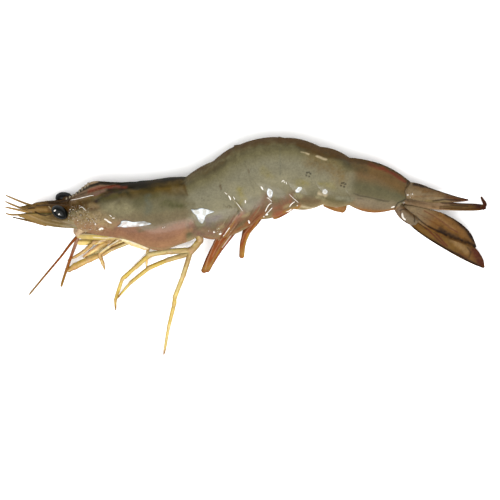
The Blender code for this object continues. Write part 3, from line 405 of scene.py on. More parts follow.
# Brushed marks on the shell, drawn on the side view: paint, strength, half width, the points,
# and the softness of the edges where it isn't 1.
BODY_MARKS = (
    ("abdomen_upper", 0.6, 2.3,
     ((-19.5, 20.3), (-12, 24.7), (-7, 27.8), (-2, 30.1), (8, 32.2), (15, 31.6))),
    ("back_brown", 0.6, 2.6, ((-31, 19.4), (-25.3, 19.9), (-22, 20.1))),
    ("dark_olive", 0.55, 1.8, ((-36, 17.9), (-30.5, 17.9))),
    ("low_brown", 0.5, 1.8, ((-23.5, 17.7), (-20.8, 17.4))),
    ("dark_olive", 0.4, 1.6, ((-34, 16.2), (-30, 15.7))),
    ("olive_brown", 0.4, 1.6, ((-46.5, 12.7), (-44.5, 12.7))),
    ("beige", 0.4, 1.6, ((-43.5, 9.6), (-40.5, 9.4))),
    ("carapace_mid", 0.7, 4.67, ((-45.3, 11.7), (-37, 12.4), (-28.7, 13.4), (-20.7, 13.4))),
    ("beige", 0.55, 3, ((-44, 11.4), (-40.7, 12.4), (-37.3, 11.4))),
    ("speckled_tan", 0.8, 4.67, ((-55.3, 7.1), (-52, 8.1), (-48.3, 8.1), (-45.3, 5.7))),
    ("face_brown", 0.85, 3, ((-60, 12.7), (-56.7, 12.7), (-52.7, 12.4), (-50, 11.7))),
    ("rose_grey", 0.9, 1.83, ((-57.3, 14.7), (-54, 15.7), (-50.3, 16.9), (-46.7, 17.6)), 0.9),
    ("rust", 0.7, 1, ((-52, 17), (-49.3, 18), (-46.7, 18.5), (-43.5, 18.5), (-39.5, 18.7))),
    ("plum", 0.8, 1.2, ((-49.2, 13.9), (-46.9, 15.5), (-44, 16.9), (-40.7, 17.9))),
    ("dark_olive", 0.85, 2, ((-42.7, 17.4), (-40, 16.8), (-38.8, 16.4))),
    ("deep_green", 0.6, 1.67, ((-47.7, 14.4), (-45.3, 15.1), (-42.7, 15.4))),
    ("ink", 0.9, 0.53, ((-48.7, 20.2), (-44.7, 19.9), (-42, 20.1), (-36.3, 20.1)), 0.7),
    # Darker paint along the top edge: partly the shell's own dark back line, partly painted shade.
    ("back_line", 0.75, 2.2, ((-40, 19.6), (-36, 19.7), (-31.5, 19.9), (-27, 20.8))),
    ("back_line", 0.7, 0.8, ((-27, 21.2), (-24, 21.5), (-20.5, 21.7))),
    ("scale_tan", 0.5, 1.6, ((-53.6, 9.5), (-51.6, 8.9))),
    ("deep_green", 0.5, 3, ((-36, 12.7), (-32.7, 14.7), (-29.3, 15.4))),
    ("blue_grey", 0.5, 2, ((-32.3, 15.7), (-32, 12.4), (-32.7, 9.7))),
    ("deep_green", 0.8, 2.67, ((-26.7, 13.1), (-24, 12.7), (-21, 12.1))),
    ("low_brown", 0.7, 3, ((-36, 8.7), (-30.3, 8.1), (-23.7, 9.1), (-19.3, 10.1))),
    ("salmon", 0.85, 3,
     ((-47.3, 3.7), (-42, 3.7), (-37, 3.1), (-30.3, 2.4), (-23.7, 4.1), (-18.7, 6.4))),
    ("mauve", 0.5, 1.33, ((-43, 5.1), (-39.3, 4.4), (-35.3, 4.1))),
    ("salmon_deep", 0.7, 1.67, ((-35.3, 0.1), (-31.3, -0.6), (-26.7, -0.6), (-21.3, 1.7))),
    ("clay", 0.8, 0.53, ((-42, 2.1), (-37.3, 0.4), (-32, -1.6), (-26.7, -1.9), (-20.7, 0.2)), 0.9),
    ("umber", 0.6, 0.4, ((-20.3, 20.1), (-20.2, 17.7), (-19.3, 15.7))),
    ("abdomen_grey", 0.6, 4, ((-16.7, 14.4), (-12.7, 15.7), (-8, 17.7))),
    ("mauve_grey", 0.9, 2.67, ((-12.7, 7.1), (-10.7, 7.7), (-8.7, 8.7))),
    ("pink_grey", 0.8, 1.67, ((-14.7, 4.1), (-12, 3.4), (-9, 3.7), (-6.7, 5.4))),
    ("clay", 0.7, 0.6, ((-13.7, 2.4), (-11, 1.6), (-8, 2.1))),
    ("abdomen_olive", 0.8, 2, ((-1.7, 17.7), (-1, 15.1), (-2, 12.7))),
    ("abdomen_olive", 0.5, 2.33, ((5.3, 24.1), (8, 22.4))),
    ("abdomen_olive", 0.6, 2.33, ((16.7, 19.7), (19.3, 19.4))),
    ("abdomen_olive", 0.6, 2, ((25.3, 19.1), (28.7, 18.7))),
    ("abdomen_red", 0.8, 2.6, ((-7.7, 5.1), (-4.6, 7.1), (-1.3, 9.4))),
    ("rust_pale", 0.45, 1.33, ((-5.3, 5.4), (-3, 7.1), (0, 8.6))),
    ("abdomen_red", 0.85, 3.6, ((2, 8.4), (4.9, 11), (6.6, 14.1))),
    ("rust_pale", 0.45, 2, ((1.6, 7.6), (3.6, 8.6), (6, 10))),
    ("abdomen_red", 0.9, 3.4, ((9.3, 11.6), (12.3, 12.9), (14.3, 14.9))),
    ("rust_pale", 0.6, 1.4, ((9.7, 11.3), (12.3, 12), (14.6, 13.4))),
    ("abdomen_red", 0.4, 2.8, ((17.7, 13.4), (20.3, 14.2), (23.3, 13.9))),
    ("cream", 0.9, 0.53, ((18.2, 12.2), (20.7, 11.5), (23.4, 11.5), (25.4, 12.6)), 0.8),
    ("mauve", 0.45, 2.2, ((-13.5, 5), (-10.5, 4.4), (-8, 5.4))),
    ("mauve_grey", 0.2, 1.8, ((-16.5, 7.5), (-15.5, 4.5), (-15, 2.5))),
    # Painted shade that dulls the coat's reflection of the lamps here.
    ("abdomen_low", 0.6, 1.6, ((10, 16.6), (12, 17))),
    ("abdomen_low", 0.6, 1.4, ((1, 13.8), (3.2, 14.8))),
    ("rust", 0.75, 1.5, ((9.6, 9), (12.2, 10.4))),
    ("swim_orange", 0.8, 0.9, ((12.4, 10.2), (14.8, 11), (17.7, 12.2)), 0.9),
    ("abdomen_mid", 0.6, 2.6, ((-7, 20), (-4.5, 18.6))),
    ("rust_pale", 0.8, 1.3, ((-7.6, 2.8), (-5.6, 5.2), (-3.4, 7.8), (-1.2, 10))),
    ("abdomen_red", 0.7, 0.45, ((-7.9, 4.3), (-5.2, 7.4), (-3.4, 10.2))),
    ("swim_red", 0.6, 1.5, ((-8, 2), (-4.6, 3.4), (-1.6, 5.4), (0.2, 6.4))),
    ("swim_red", 0.45, 1.4, ((0.8, 5.8), (3.4, 7.6), (5.6, 8.9))),
    ("mauve", 0.7, 2.2, ((-18.5, 5.5), (-16.4, 3.6), (-13, 2.9), (-10.4, 2.9))),
    ("rust_pale", 0.5, 0.7, ((-14, 1.9), (-11, 1.3), (-8.6, 1.6))),
    ("swim_dark", 0.7, 0.35, ((-8.6, 1.4), (-6.8, 4.2), (-5, 7), (-3.8, 9))),
    ("swim_gold", 0.7, 0.32, ((-7.4, 1.6), (-5.6, 4.4), (-3.8, 7.2))),
    ("swim_dark", 0.6, 0.3, ((-5.6, 2.2), (-3.6, 5), (-2.2, 7))),
    # This pale line, and the clay and cream lines below it, are painted highlights along the first swimming
    # limb's root.
    ("swim_pale", 0.6, 0.22, ((-6.2, 2), (-4.6, 4.4), (-3.2, 6.2))),
    ("swim_gold", 0.6, 0.3, ((1.6, 5.2), (3.4, 7), (5.6, 8.6))),
    ("swim_dark", 0.6, 0.28, ((0.8, 5.6), (2.6, 7.6), (4.6, 9.2))),
    ("clay", 0.6, 0.28, ((-6.2, 4.6), (-4.4, 7), (-2.8, 9.4)), 0.9),
    ("umber", 0.5, 0.25, ((-8.6, 4.2), (-6.6, 7.2), (-5.2, 9.2)), 0.9),
    ("cream", 0.35, 0.22, ((-9, 4.4), (-7.4, 6.2), (-6.2, 8.4)), 0.9),
    ("rust_pale", 0.7, 0.4, ((1.2, 7.4), (3, 9.8), (4.6, 12.4))),
    ("umber", 0.5, 0.25, ((0.7, 8.4), (2.2, 10.6), (3.2, 12.8)), 0.9),
    # Painted highlight along the second swimming limb's root.
    ("clay", 0.5, 0.25, ((2.4, 8.4), (4, 10.4), (5.2, 12.6)), 0.9),
    ("yellow_brown", 0.55, 5, ((22, 27), (28, 24.8), (31.3, 21.8))),
    ("low_brown", 0.6, 2, ((-8, 7.8), (-5.5, 9.3), (-3.2, 11.2))),
    ("umber", 0.6, 0.55, ((-8.4, 18.9), (-8.1, 17.8))),
    ("umber", 0.5, 0.5, ((0.8, 24.1), (0.9, 23.1))),
    ("ink", 0.6, 0.25, ((-14.6, 14.9), (-14.4, 14.8)), 0.9),
    ("ink", 0.6, 0.22, ((-13.7, 14.2), (-13.5, 14.1)), 0.9),
    ("ink", 0.55, 0.22, ((-12.6, 15.3), (-12.4, 15.3)), 0.9),
    ("umber", 0.55, 0.25, ((-6.6, 12), (-5.6, 11.6), (-4.8, 12)), 0.9),
    ("ink", 0.9, 0.3, ((-2.5, 10.6), (-2.3, 9.2)), 0.7),
    ("dark_olive", 0.6, 0.3, ((-5.7, 12.4), (-4.7, 11.9)), 0.8),
    # A painted highlight along the seam, and on the next line painted shade beside it.
    ("cream", 0.35, 0.25, ((-7, 16.7), (-5, 15.1), (-3.3, 13.4), (-2, 11.4), (0, 8.7)), 0.9),
    ("dark_olive", 0.35, 0.45, ((-4.4, 15.2), (-2.7, 13.4), (-1.4, 11.4), (0.4, 9))),
    ("mauve", 0.6, 0.27, ((14, 16.1), (16, 14.1), (18, 12.4)), 0.8),
    # Painted highlights: warm glints on the back.
    ("cream", 0.7, 0.3, ((18.2, 29.9), (18.9, 29.7)), 0.8),
    ("cream", 0.95, 0.37, ((19.6, 29.6), (20.7, 29.2)), 0.6),
    ("cream", 1, 0.52, ((23.4, 28.5), (24.7, 28), (26.2, 27.6)), 0.6),
    ("blue_grey", 0.35, 0.3, ((11.2, 31.1), (11.2, 26.4), (11.2, 21.7))),
    ("sixth_upper", 0.6, 2.67, ((40, 23.2), (42, 22.7), (47.3, 20.7), (51.3, 18.7))),
    ("olive_brown", 0.6, 2.4, ((33.5, 25.6), (36.5, 24.8), (39, 24.2))),
    ("sixth_red", 0.45, 1.3, ((41, 26), (45, 24.6))),
    ("sixth_red", 0.75, 1.2, ((44.6, 24.7), (49.3, 22.6), (52.6, 20.4))),
    ("back_line", 0.95, 0.6, ((42, 27.1), (45.5, 26.2), (49.4, 24.2), (52.5, 22.2), (54.8, 20.4)), 0.8),
    ("sixth_teal", 0.6, 2.67, ((36.7, 18.4), (41.3, 17.7), (46, 16.1))),
    ("sixth_low", 0.8, 2.67, ((37.3, 13.1), (42.7, 12.4), (48, 12.4))),
    ("orange", 0.9, 0.73, ((37, 11.2), (40, 10.6), (44.7, 10.4), (48.7, 10.9))),
    ("ink", 0.55, 0.3,
     ((35.7, 16.3), (37.3, 15.6), (40, 15.2), (42.7, 14.6), (45.7, 13.9), (47.3, 13.9)), 0.8),
    ("ink", 0.35, 0.23, ((36.7, 14.6), (38.7, 14.6)), 0.8),
    ("ink", 0.8, 0.33,
     ((54, 20.7), (53.2, 18.7), (52.7, 17.1), (53.3, 14.7), (51.7, 13.9), (50.3, 13.4), (49.3, 11.4)), 0.8),
    ("pink_grey", 0.9, 0.9, ((-9.2, 4.9), (-7.6, 5.4))),
    ("pink_grey", 0.9, 0.9, ((-0.8, 9), (0.8, 9.4))),
    ("pink_grey", 0.9, 0.9, ((12.6, 12), (14.2, 12.6))),
    ("beige", 1, 1.1, ((16.2, 15.8), (18, 15.2))),
    ("beige", 0.8, 1, ((23.4, 15.2), (25.6, 14.6))),
    ("abdomen_mid", 0.7, 1.2, ((-16.2, 6.2), (-14, 6.4))),
    ("abdomen_low", 0.5, 1.6, ((-20.6, 13.8), (-17.6, 13))),
    ("abdomen_low", 0.5, 1.6, ((-3.2, 11.6), (-0.6, 11))),
    ("abdomen_low", 0.5, 1.8, ((6.4, 18.8), (9.4, 18))),
    ("cream", 0.8, 1.1, ((24.4, 16.5), (26.2, 15.9))),
    ("abdomen_grey", 1, 1.4, ((30.4, 15), (34.6, 14.5))),
    ("salmon_deep", 0.7, 1.2, ((-20.6, 3.2), (-18, 4.2))),
    ("clay", 0.5, 1.1, ((-50.4, 4.7), (-48.2, 4.2))),
    ("speckled_tan", 0.5, 1.4, ((-51.6, 12.5), (-49.2, 12))),
    ("rose_grey", 0.6, 0.9, ((-54.6, 14.3), (-52, 15.2))),
    ("mauve", 0.8, 0.9, ((-50, 16), (-47.2, 17))),
    # Darker paint along the top edge: partly the shell's own dark back line, partly painted shade.
    ("umber", 0.8, 0.7, ((31.6, 29.4), (33.6, 28.3), (36.2, 27.4))),
    ("umber", 0.6, 1.4, ((20, 30.6), (25.3, 29), (30, 28.8), (34, 27.8))),
    ("face_brown", 0.5, 0.8, ((-59, 14.9), (-56.8, 15.3))),
    ("straw_grey", 0.6, 0.9, ((-55.5, 3.9), (-52.5, 4.2))),
    # Painted shade that dulls the coat's reflection of the lamps here.
    ("abdomen_low", 0.6, 1.5, ((-35, 4.6), (-30, 5.2))),
    ("umber", 0.7, 0.7, ((52, 22.1), (54.4, 20.8))),
    ("beige", 0.6, 0.8, ((51.8, 12.7), (53.6, 12.1))),
)

# The cheek's speckles, along this line of the side view and this far around it.
CHEEK = ((-55.5, 10.0), (-51.5, 8.0), (-49.0, 5.5))
CHEEK_REACH = 6.0
DRIFT_SIZE = 2.5         # size of the waves in which the marks wander
MARK_GRIT = 0.6          # how unevenly the marks are laid on
GRIT_SIZE = 0.9

# The same on the rostrum, the feelers' roots, the swimming limbs and the tail fan.
ROSTRUM_MARKS = (
    ("feeler_dark", 0.8, 1, ((-65, 13.2), (-62, 13.8), (-58.5, 14.8)), 0.9),
    ("rust", 0.7, 0.9, ((-52, 17.2), (-48.7, 18.4), (-45.3, 18.6), (-41, 18.5), (-36, 18.6))),
    ("back_line", 1, 0.65, ((-57.5, 16.1), (-54.5, 17.5), (-51.5, 18.9), (-48.7, 19.7)), 0.6),
    ("back_line", 1, 1, ((-48.2, 20.1), (-44.7, 19.8), (-36, 20)), 0.6),
    ("scale_pale", 0.85, 0.6, ((-51.6, 20.1), (-48.9, 20.7)), 0.6),
    ("scale_pale", 0.7, 0.45, ((-54.8, 18.9), (-53.2, 19.6)), 0.7),
)
FACE_MARKS = (
    ("feeler_dark", 0.7, 1.3, ((-65.5, 13.7), (-63, 13.5), (-58.5, 13.2))),
    ("feeler_dark", 0.95, 0.33, ((-72.9, 11.6), (-70.1, 11.6)), 0.8),
    ("feeler_dark", 0.85, 0.3, ((-69.6, 12.6), (-67.5, 12.7), (-64.6, 12.3)), 0.8),
    ("feeler_dark", 0.95, 0.38, ((-69.8, 10.4), (-68, 9.5), (-66.3, 9.2), (-64.6, 9.6)), 0.8),
    ("feeler_tan", 0.5, 0.7, ((-69, 11.3), (-66, 11))),
    ("scale_pale", 0.5, 0.5, ((-73, 10.8), (-71, 10.3))),
    ("cream", 0.6, 0.25, ((-65.2, 12.1), (-64.6, 11.5)), 0.8),
)
SCALE_MARKS = (
    ("scale_pale", 0.55, 0.45, ((-64, 7.6), (-60.5, 7.1), (-57, 5.9), (-53.5, 5.2))),
    ("face_brown", 0.6, 0.22, ((-66, 8.4), (-62.5, 7.6), (-59.3, 6.4), (-56, 5.6)), 0.9),
    ("face_brown", 0.45, 0.2, ((-71, 9.4), (-66, 7.6), (-61, 6.5), (-57.5, 5.4)), 0.9),
    ("scale_pale", 0.5, 0.3, ((-72, 9.3), (-67, 7.2), (-62, 6), (-58, 5.1)), 0.9),
    ("speckled_tan", 0.8, 2.2, ((-57.5, 8.4), (-54.5, 7.4), (-52.5, 5.4))),
    ("straw_grey", 0.6, 0.9, ((-55.5, 3.9), (-52.5, 4.2))),
    ("face_brown", 0.7, 1.1, ((-64.5, 8.9), (-61, 8.1), (-57.5, 8.5))),
    ("feeler_tan", 0.6, 0.7, ((-69, 10.9), (-66, 10.5))),
    ("feeler_dark", 0.9, 0.38, ((-69.8, 10.4), (-68, 9.5), (-66.3, 9.2), (-64.6, 9.6)), 0.8),
)
SWIM_MARKS = (
    # The glint and swim_pale lines are painted highlights along the limbs' edges.
    ("glint", 0.8, 0.24, ((-3.6, 4.4), (-5.8, 1.4), (-7.9, -1.4)), 0.8),
    ("swim_dark", 0.9, 0.6, ((-8.7, 4.6), (-11.4, 0), (-14.2, -7.4))),
    ("swim_pale", 0.75, 0.2, ((-8, 5.2), (-10.6, -0.2), (-12.9, -6), (-13.6, -8.8)), 0.8),
    ("swim_pale", 0.55, 0.2, ((-6, 5.2), (-8.6, 0.6), (-11.2, -4.4)), 0.8),
    ("swim_gold", 0.6, 0.55, ((-5.4, 2.6), (-8.6, -1.6), (-11, -5.6), (-12.4, -8.6))),
    ("swim_pale", 0.6, 0.18, ((2.6, 6.7), (-0.6, 3.1), (-1.4, 0.4)), 0.8),
    ("swim_dark", 0.7, 0.4, ((-1.7, 3.4), (-2.6, 0.2), (-2.5, -3.8))),
    ("swim_gold", 0.8, 0.85, ((0.9, 3), (-0.4, -0.5), (-0.7, -4.4))),
    ("swim_gold", 0.6, 0.45, ((4.6, 8.4), (2.2, 4.6), (0.4, 1.4))),
)
LEG_MARKS = (
    # The glint lines are painted highlights. The pale straw marks are painted light that lifts the shade on
    # the leg roots and between the front legs, and painted highlights down the shins.
    ("glint", 0.6, 0.22, ((-50.5, 1.9), (-46.5, 1.7), (-42, 2.2)), 0.9),
    ("glint", 0.45, 0.2, ((-55, 3), (-51, 3), (-46.5, 2.6)), 0.9),
    ("straw_pale", 0.8, 1.2, ((-17.6, -0.2), (-20.4, -1.4), (-27, -2.4), (-33, -3.6))),
    ("straw", 0.5, 0.8, ((-16.4, 1.4), (-17.4, -0.2), (-20.4, -1.6), (-24, -2.2))),
    ("straw_pale", 0.6, 0.9, ((-19.5, -3.2), (-23, -3.8), (-26.5, -4.8))),
    ("straw_pale", 0.5, 0.9, ((-20.6, -8.4), (-22.3, -12.9), (-24, -18))),
    ("straw_pale", 0.5, 0.6, ((-25.8, -27.5), (-27, -33.3), (-27.8, -36))),
    ("straw_pale", 0.5, 0.6, ((-38.5, -11.5), (-41, -15.5))),
    ("leg_gold", 0.7, 0.6, ((-42.9, -16.5), (-43.8, -19.5))),
    ("straw_pale", 0.9, 1, ((-46, -1.4), (-49.5, -2.8), (-52.5, -4.2))),
    ("straw", 0.6, 0.9, ((-54, -5.2), (-59, -7.6))),
    ("leg_tip", 0.3, 0.35, ((-55.5, 3.4), (-50, 3.3), (-44, 2.9))),
    ("glint", 0.6, 0.25, ((-42.6, 0.8), (-45.6, -0.9), (-48.6, -3)), 0.9),
    ("leg_tip", 0.4, 0.25, ((-42, 0), (-45.4, -1.8), (-48, -3.6))),
    ("glint", 0.65, 0.25, ((-41.8, 1.3), (-38.5, 0.6), (-35.5, -0.6), (-32.6, -1.8)), 0.9),
    ("leg_tip", 0.4, 0.22, ((-41, 0.6), (-37.5, -0.4), (-34.2, -1.9))),
    ("leg_pink", 0.6, 0.4, ((-47, 1.4), (-52, -2.6), (-55.8, -5))),
    ("glint", 0.45, 0.22, ((-48.2, 0.9), (-51.6, -1.9)), 0.9),
    ("leg_tip", 0.45, 0.25, ((-46.6, 0.6), (-51, -3.2), (-59, -5.4))),
    ("leg_tip", 0.5, 0.35, ((-46, -4.6), (-52, -6.6), (-59.5, -9.6))),
)
TELSON_MARKS = (
    ("fan_brown", 0.65, 1.6, ((56, 19.1), (64.7, 16.6), (72, 14.4))),
    ("fan_dark", 0.9, 0.55, ((55.9, 19.7), (64.7, 17.2), (73.8, 14.3)), 0.9),
    ("fan_dark", 0.8, 0.8, ((55.6, 19.4), (58.5, 18.8))),
    ("fan_tip", 0.6, 1.6, ((66.5, 15.2), (70, 14.6), (73.8, 14.2))),
    ("scale_tan", 0.55, 1, ((59.7, 13.9), (66.7, 13.4))),
    ("fan_dark", 0.85, 0.4, ((62, 14), (66, 14.5), (71.3, 14.2)), 0.9),
    ("fan_brown", 0.6, 0.4, ((54.5, 15.2), (58, 15.5), (62, 15.7), (65, 15.4))),
    ("fan_brown", 0.6, 0.3, ((58.3, 16.9), (61, 17.2)), 0.9),
    ("fan_dark", 0.5, 0.28, ((52.6, 14.6), (55, 14.4), (57.5, 13.7)), 0.9),
)
FAR_FAN_MARKS = (
    ("fan_orange", 0.8, 0.6, ((64.7, 12.1), (68, 12), (72, 11.9))),
    ("fan_brown", 0.5, 0.9, ((62.2, 12), (64.6, 11.6))),
    ("hem", 0.9, 0.7, ((65, 13.6), (71.3, 13.2), (78, 13))),
    ("fan_dark", 0.7, 0.35, ((68, 12.7), (74, 12.3)), 0.9),
    ("hem", 0.9, 0.28, ((64.5, 11.5), (73, 11.3), (80, 11.7)), 0.9),
    ("hem", 1, 1.3, ((77.3, 12.4), (80, 12.1)), 0.9),
)
FAN_FOOT_MARKS = (
    ("beige", 0.6, 0.8, ((51.8, 12.7), (53.6, 12.1))),
    ("fan_dark", 0.8, 0.28, ((51, 10.9), (52.3, 11.3), (53.7, 11.2)), 0.8),
    ("fan_dark", 0.7, 0.28, ((55.7, 9.3), (56, 8.2), (55.9, 7)), 0.8),
    ("hem", 0.7, 0.25, ((51.2, 10.7), (51.4, 9.1), (52.7, 7.2), (54.3, 5.9)), 0.8),
)

# The same on the two near blades of the tail fan.
INNER_BLADE_MARKS = (
    ("fan_olive", 0.5, 1, ((59.3, 10.7), (64.7, 8.1), (69.3, 4.7))),
    ("fan_dark", 0.85, 1.6, ((64.7, 4.4), (68.7, 2.2), (72.7, 0.7), (76.7, -1.1))),
    ("fan_dark", 0.7, 0.53, ((60.7, 5.7), (63.3, 4.2), (66.7, 2.7)), 0.9),
    ("fan_dark", 0.95, 1.2, ((66.7, 9.7), (70, 7.6), (73.3, 4.7), (76, 1.1))),
    ("fan_dark", 0.6, 0.67, ((76, 1.7), (76.7, -0.3), (77, -1.9))),
    ("vein", 0.75, 0.33, ((59.2, 10.8), (62.5, 9), (65.5, 7), (68.5, 4.9), (70.5, 3.6)), 0.9),
    ("vein", 0.45, 0.25, ((57, 9.9), (60.5, 8), (64.5, 5.6)), 0.9),
    ("fan_dark", 0.8, 0.35, ((56.2, 8.9), (58.6, 7), (61, 5.3), (64, 4.2), (67, 2.6)), 0.8),
)
OUTER_BLADE_MARKS = (
    ("fan_orange", 0.8, 1.33, ((56.7, 5.1), (60, 2.7), (64, 0.1))),
    ("fan_olive", 0.95, 1.67, ((69, 1.1), (71.7, -0.9), (74, -2.6))),
    ("fan_orange", 0.3, 1.33, ((66, 3.1), (67.7, 1.7), (69, 0.1))),
    ("fan_tip", 0.6, 1, ((71.4, -3.6), (74, -5))),
    ("fan_tip", 0.95, 2.67, ((76.7, -2.6), (78.3, -4.9), (79.3, -7.3)), 0.8),
    ("fan_dark", 0.9, 0.67,
     ((55, 5.6), (58.7, 2.9), (62.9, 0.4), (67.1, -2), (71.4, -4.2), (75.7, -6.4), (78.7, -7.9)), 0.9),
    ("vein", 1, 0.35, ((56.5, 8.4), (59.3, 5.8), (61.5, 3.7), (64, 1.3), (66.3, -0.8)), 0.8),
    ("vein", 1, 0.35, ((57.2, 8.4), (60, 6.2), (62.7, 3.9), (65.3, 1.2), (67.2, -1)), 0.8),
    ("fan_dark", 0.7, 0.3, ((56, 8), (58, 6.2), (60.2, 4.6)), 0.8),
    ("fan_dark", 0.6, 0.3, ((74, -1.4), (75.2, -2.9), (74.7, -4.9)), 0.8),
)

# Paints along each blade of the tail fan, and its marks.
FAN_PAINTS = {
    "telson": (((0, "telson_grey"), (0.7, "telson_grey"), (1, "fan_brown")), TELSON_MARKS),
    # far_tan is painted light: the far blade's root is painted much paler to lift the shade it lies in.
    "fan_right": (
        ((0, "far_tan"), (0.45, "far_tan"), (0.6, "fan_olive"), (0.8, "fan_orange"), (1, "hem")),
        FAR_FAN_MARKS,
    ),
    "fan_left_outer": (
        ((0, "fan_brown"), (0.3, "fan_orange"), (0.6, "fan_orange"), (1, "fan_brown")),
        OUTER_BLADE_MARKS,
    ),
    "fan_left_inner": (
        ((0, "telson_grey"), (0.2, "telson_grey"), (0.4, "fan_brown"), (1, "fan_brown")),
        INNER_BLADE_MARKS,
    ),
}

# Paints along the limbs.
ANTENNULE_PAINTS = ((0, "face_brown"), (0.4, "feeler_brown"), (1, "feeler_tan"))
FOOT_PAINTS = ((0, "clay"), (0.5, "straw_grey"), (1, "straw_grey"))
ANTENNA_PAINTS = {
    "antenna_left": ((0, "feeler_red"), (0.5, "feeler_red"), (1, "feeler_tan")),
    "antenna_right": ((0, "leg_pink"), (0.4, "feeler_red"), (1, "leg_gold")),
}
MOUTH_PAINTS = ((0, "straw_grey"), (0.35, "leg_core"), (0.6, "straw"), (1, "leg_core"))
SWIM_PAINTS = (
    (0, "swim_dark"), (0.35, "swim_red"), (0.7, "swim_red"), (0.9, "swim_orange"), (1, "swim_red"),
)

# Skins: roughness, weight of the wet coat, depth of the clouds and of the flecks, scale of the
# flecks and strength of the grain.
SKINS = {
    "shell_skin": (0.42, 0.12, 0.12, 0.25, 2400.0, 0.3),
    "face_skin": (0.38, 0.10, 0.16, 0.3, 2400.0, 0.35),
    "leg_skin": (0.3, 0.18, 0.10, 0.15, 2200.0, 0.15),
    "feeler_skin": (0.35, 0.10, 0.12, 0.2, 2500.0, 0.2),
    "swimmer_skin": (0.32, 0.20, 0.14, 0.25, 2200.0, 0.25),
    "fan_skin": (0.4, 0.10, 0.16, 0.4, 1700.0, 0.3),
    "eye_gloss": (0.25, 0.25, 0.05, 0.3, 7000.0, 0.05),
}
COAT_ROUGHNESS = 0.15
SKIN_SPECULAR = 0.0      # the coat alone shines, so the white room doesn't veil the dark paints
GRAIN_DEPTH = 0.0001     # in metres
RIPPLE_DEPTH = 0.0003

# Rings of dark skin dots, by centre on the side view.
DOT_RINGS = ((20.5, 22.8), (32.0, 19.4))
DOT_RING_RADIUS = 0.7
DOT_RADIUS = 0.3
DOTS_PER_RING = 5

# Water lying on the shell, on the side view: level films by their outline, beads by radius
# and line, and fine dew by the corners of its patch and the number of drops.
WATER_FILMS = {
    "film_carapace": (
        (-42.7, 5.4), (-41.6, 6.3), (-41.2, 7.3), (-39.6, 7.5), (-37.3, 7), (-35.3, 7.1), (-33.3, 7.2),
        (-32, 6.8), (-30.9, 6.4), (-32, 6), (-34.3, 5.6), (-36.7, 5.3), (-39.3, 5.1), (-41.3, 5.2),
    ),
    "film_first_plate": (
        (-18.3, 11.2), (-16.7, 11.2), (-15, 11.6), (-13, 11.4), (-11.7, 10.9), (-10.2, 10.4),
        (-11.3, 9.9), (-12.7, 9.4), (-13.5, 8.4), (-13.8, 7.1), (-14.5, 6.3), (-15.6, 7.1),
        (-16.3, 8.6), (-17.5, 9.9),
    ),
    "film_second_plate": (
        (6.9, 17.6), (7.5, 18.1), (8.3, 17.7), (8.8, 16.9), (8.7, 15.7), (8.3, 14.6), (7.5, 15),
        (6.9, 16.1),
    ),
    "film_third_plate": (
        (16.5, 17.5), (17.3, 18.5), (18.5, 18.4), (18.2, 17.4), (17.2, 16.5), (16.3, 16.7),
    ),
    "film_fourth_plate": (
        (25, 16.9), (25.3, 17.6), (26.1, 17.8), (26.8, 17.3), (26.9, 16.5), (26.2, 15.9), (25.4, 16.1),
    ),
}
WATER_BEADS = (
    (0.16, (-7.6, 2.2), (-6.4, 3.8), (-5.4, 5.2)),
    (0.15, (-58.2, 14.2), (-55.3, 14.7), (-52, 15.5), (-50.2, 15.8)),
    (0.28, (-46.9, 8), (-46.1, 7.7), (-45.2, 7), (-44.3, 6.6)),
    (0.36, (-48.6, 4.4), (-47.8, 4.9), (-47.1, 4.6)), (0.33, (-50, 6.2), (-49.5, 6.3)),
    (0.17, (-44.2, 8.2), (-43.3, 8.3)), (0.12, (-45, 9.3), (-44.3, 8.7)),
    (0.17, (-58.3, 11.1), (-58, 11.1)), (0.15, (-57.3, 11.1), (-57, 11.1)),
    (0.1, (-55.2, 11.5), (-54.2, 11.9), (-52.8, 10.7)), (0.15, (-55.8, 7.5), (-55.5, 7.6)),
    (0.13, (-27.6, 5), (-27.3, 5.1)), (0.12, (-26.9, 5.3), (-26.7, 5.3)),
    (0.33, (-10.8, 3.6), (-10.3, 3.7)), (0.32, (-8.9, 2.9), (-8.1, 3.3)), (0.1, (-7, 16.7), (-6.2, 16)),
    (0.22, (-5.8, 15.7), (-5.3, 15), (-5, 14.1)), (0.12, (-4.2, 15.3), (-3.6, 14.3)),
    (0.08, (-3.2, 13.4), (-2.2, 12.1), (-1, 10.4)), (0.18, (-0.2, 14.1), (-0.2, 13.1)),
    (0.23, (4.9, 18.7), (5.7, 17.4)), (0.15, (11.7, 20), (12.3, 20.6), (12.7, 19.7)),
    (0.13, (13.1, 20.2), (13.4, 19.3)), (0.15, (6.8, 14.9), (7.5, 14.7), (8.5, 13.7)),
    (0.17, (6.3, 10.3), (7.3, 12.3), (8.5, 13.3)), (0.15, (6.3, 9.1), (7.5, 10.4), (8.7, 11.7)),
    (0.23, (5.7, 8.6), (6.1, 8.9)), (0.22, (6.7, 9.2), (7.3, 9.6)), (0.27, (0.8, 7.6), (1.2, 6.5)),
    (0.25, (13.2, 10.4), (14.1, 10.6), (15, 11.3)), (0.18, (14.3, 11.9), (15, 12.9), (16.1, 13.7)),
    (0.1, (14.2, 16.1), (15.7, 14.7), (17.3, 13.3)), (0.22, (16.7, 12.3), (17.1, 12.5)),
    (0.13, (16.4, 17.6), (16.5, 16.7)), (0.25, (48, 11.8), (49.2, 12.2)),
    # The two beads on the eye are its painted highlights.
    (0.28, (-63.3, 10.5), (-62.7, 11)), (0.28, (-61.9, 9.4), (-61.4, 9.7)),
    (0.35, (51.8, 10.1), (52, 8.7), (53, 7.6)), (0.2, (53.3, 15.9), (53.8, 16)),
    (0.18, (54.9, 16.2), (55.3, 16.3)), (0.2, (52, 13.3), (52.9, 13.6)),
)
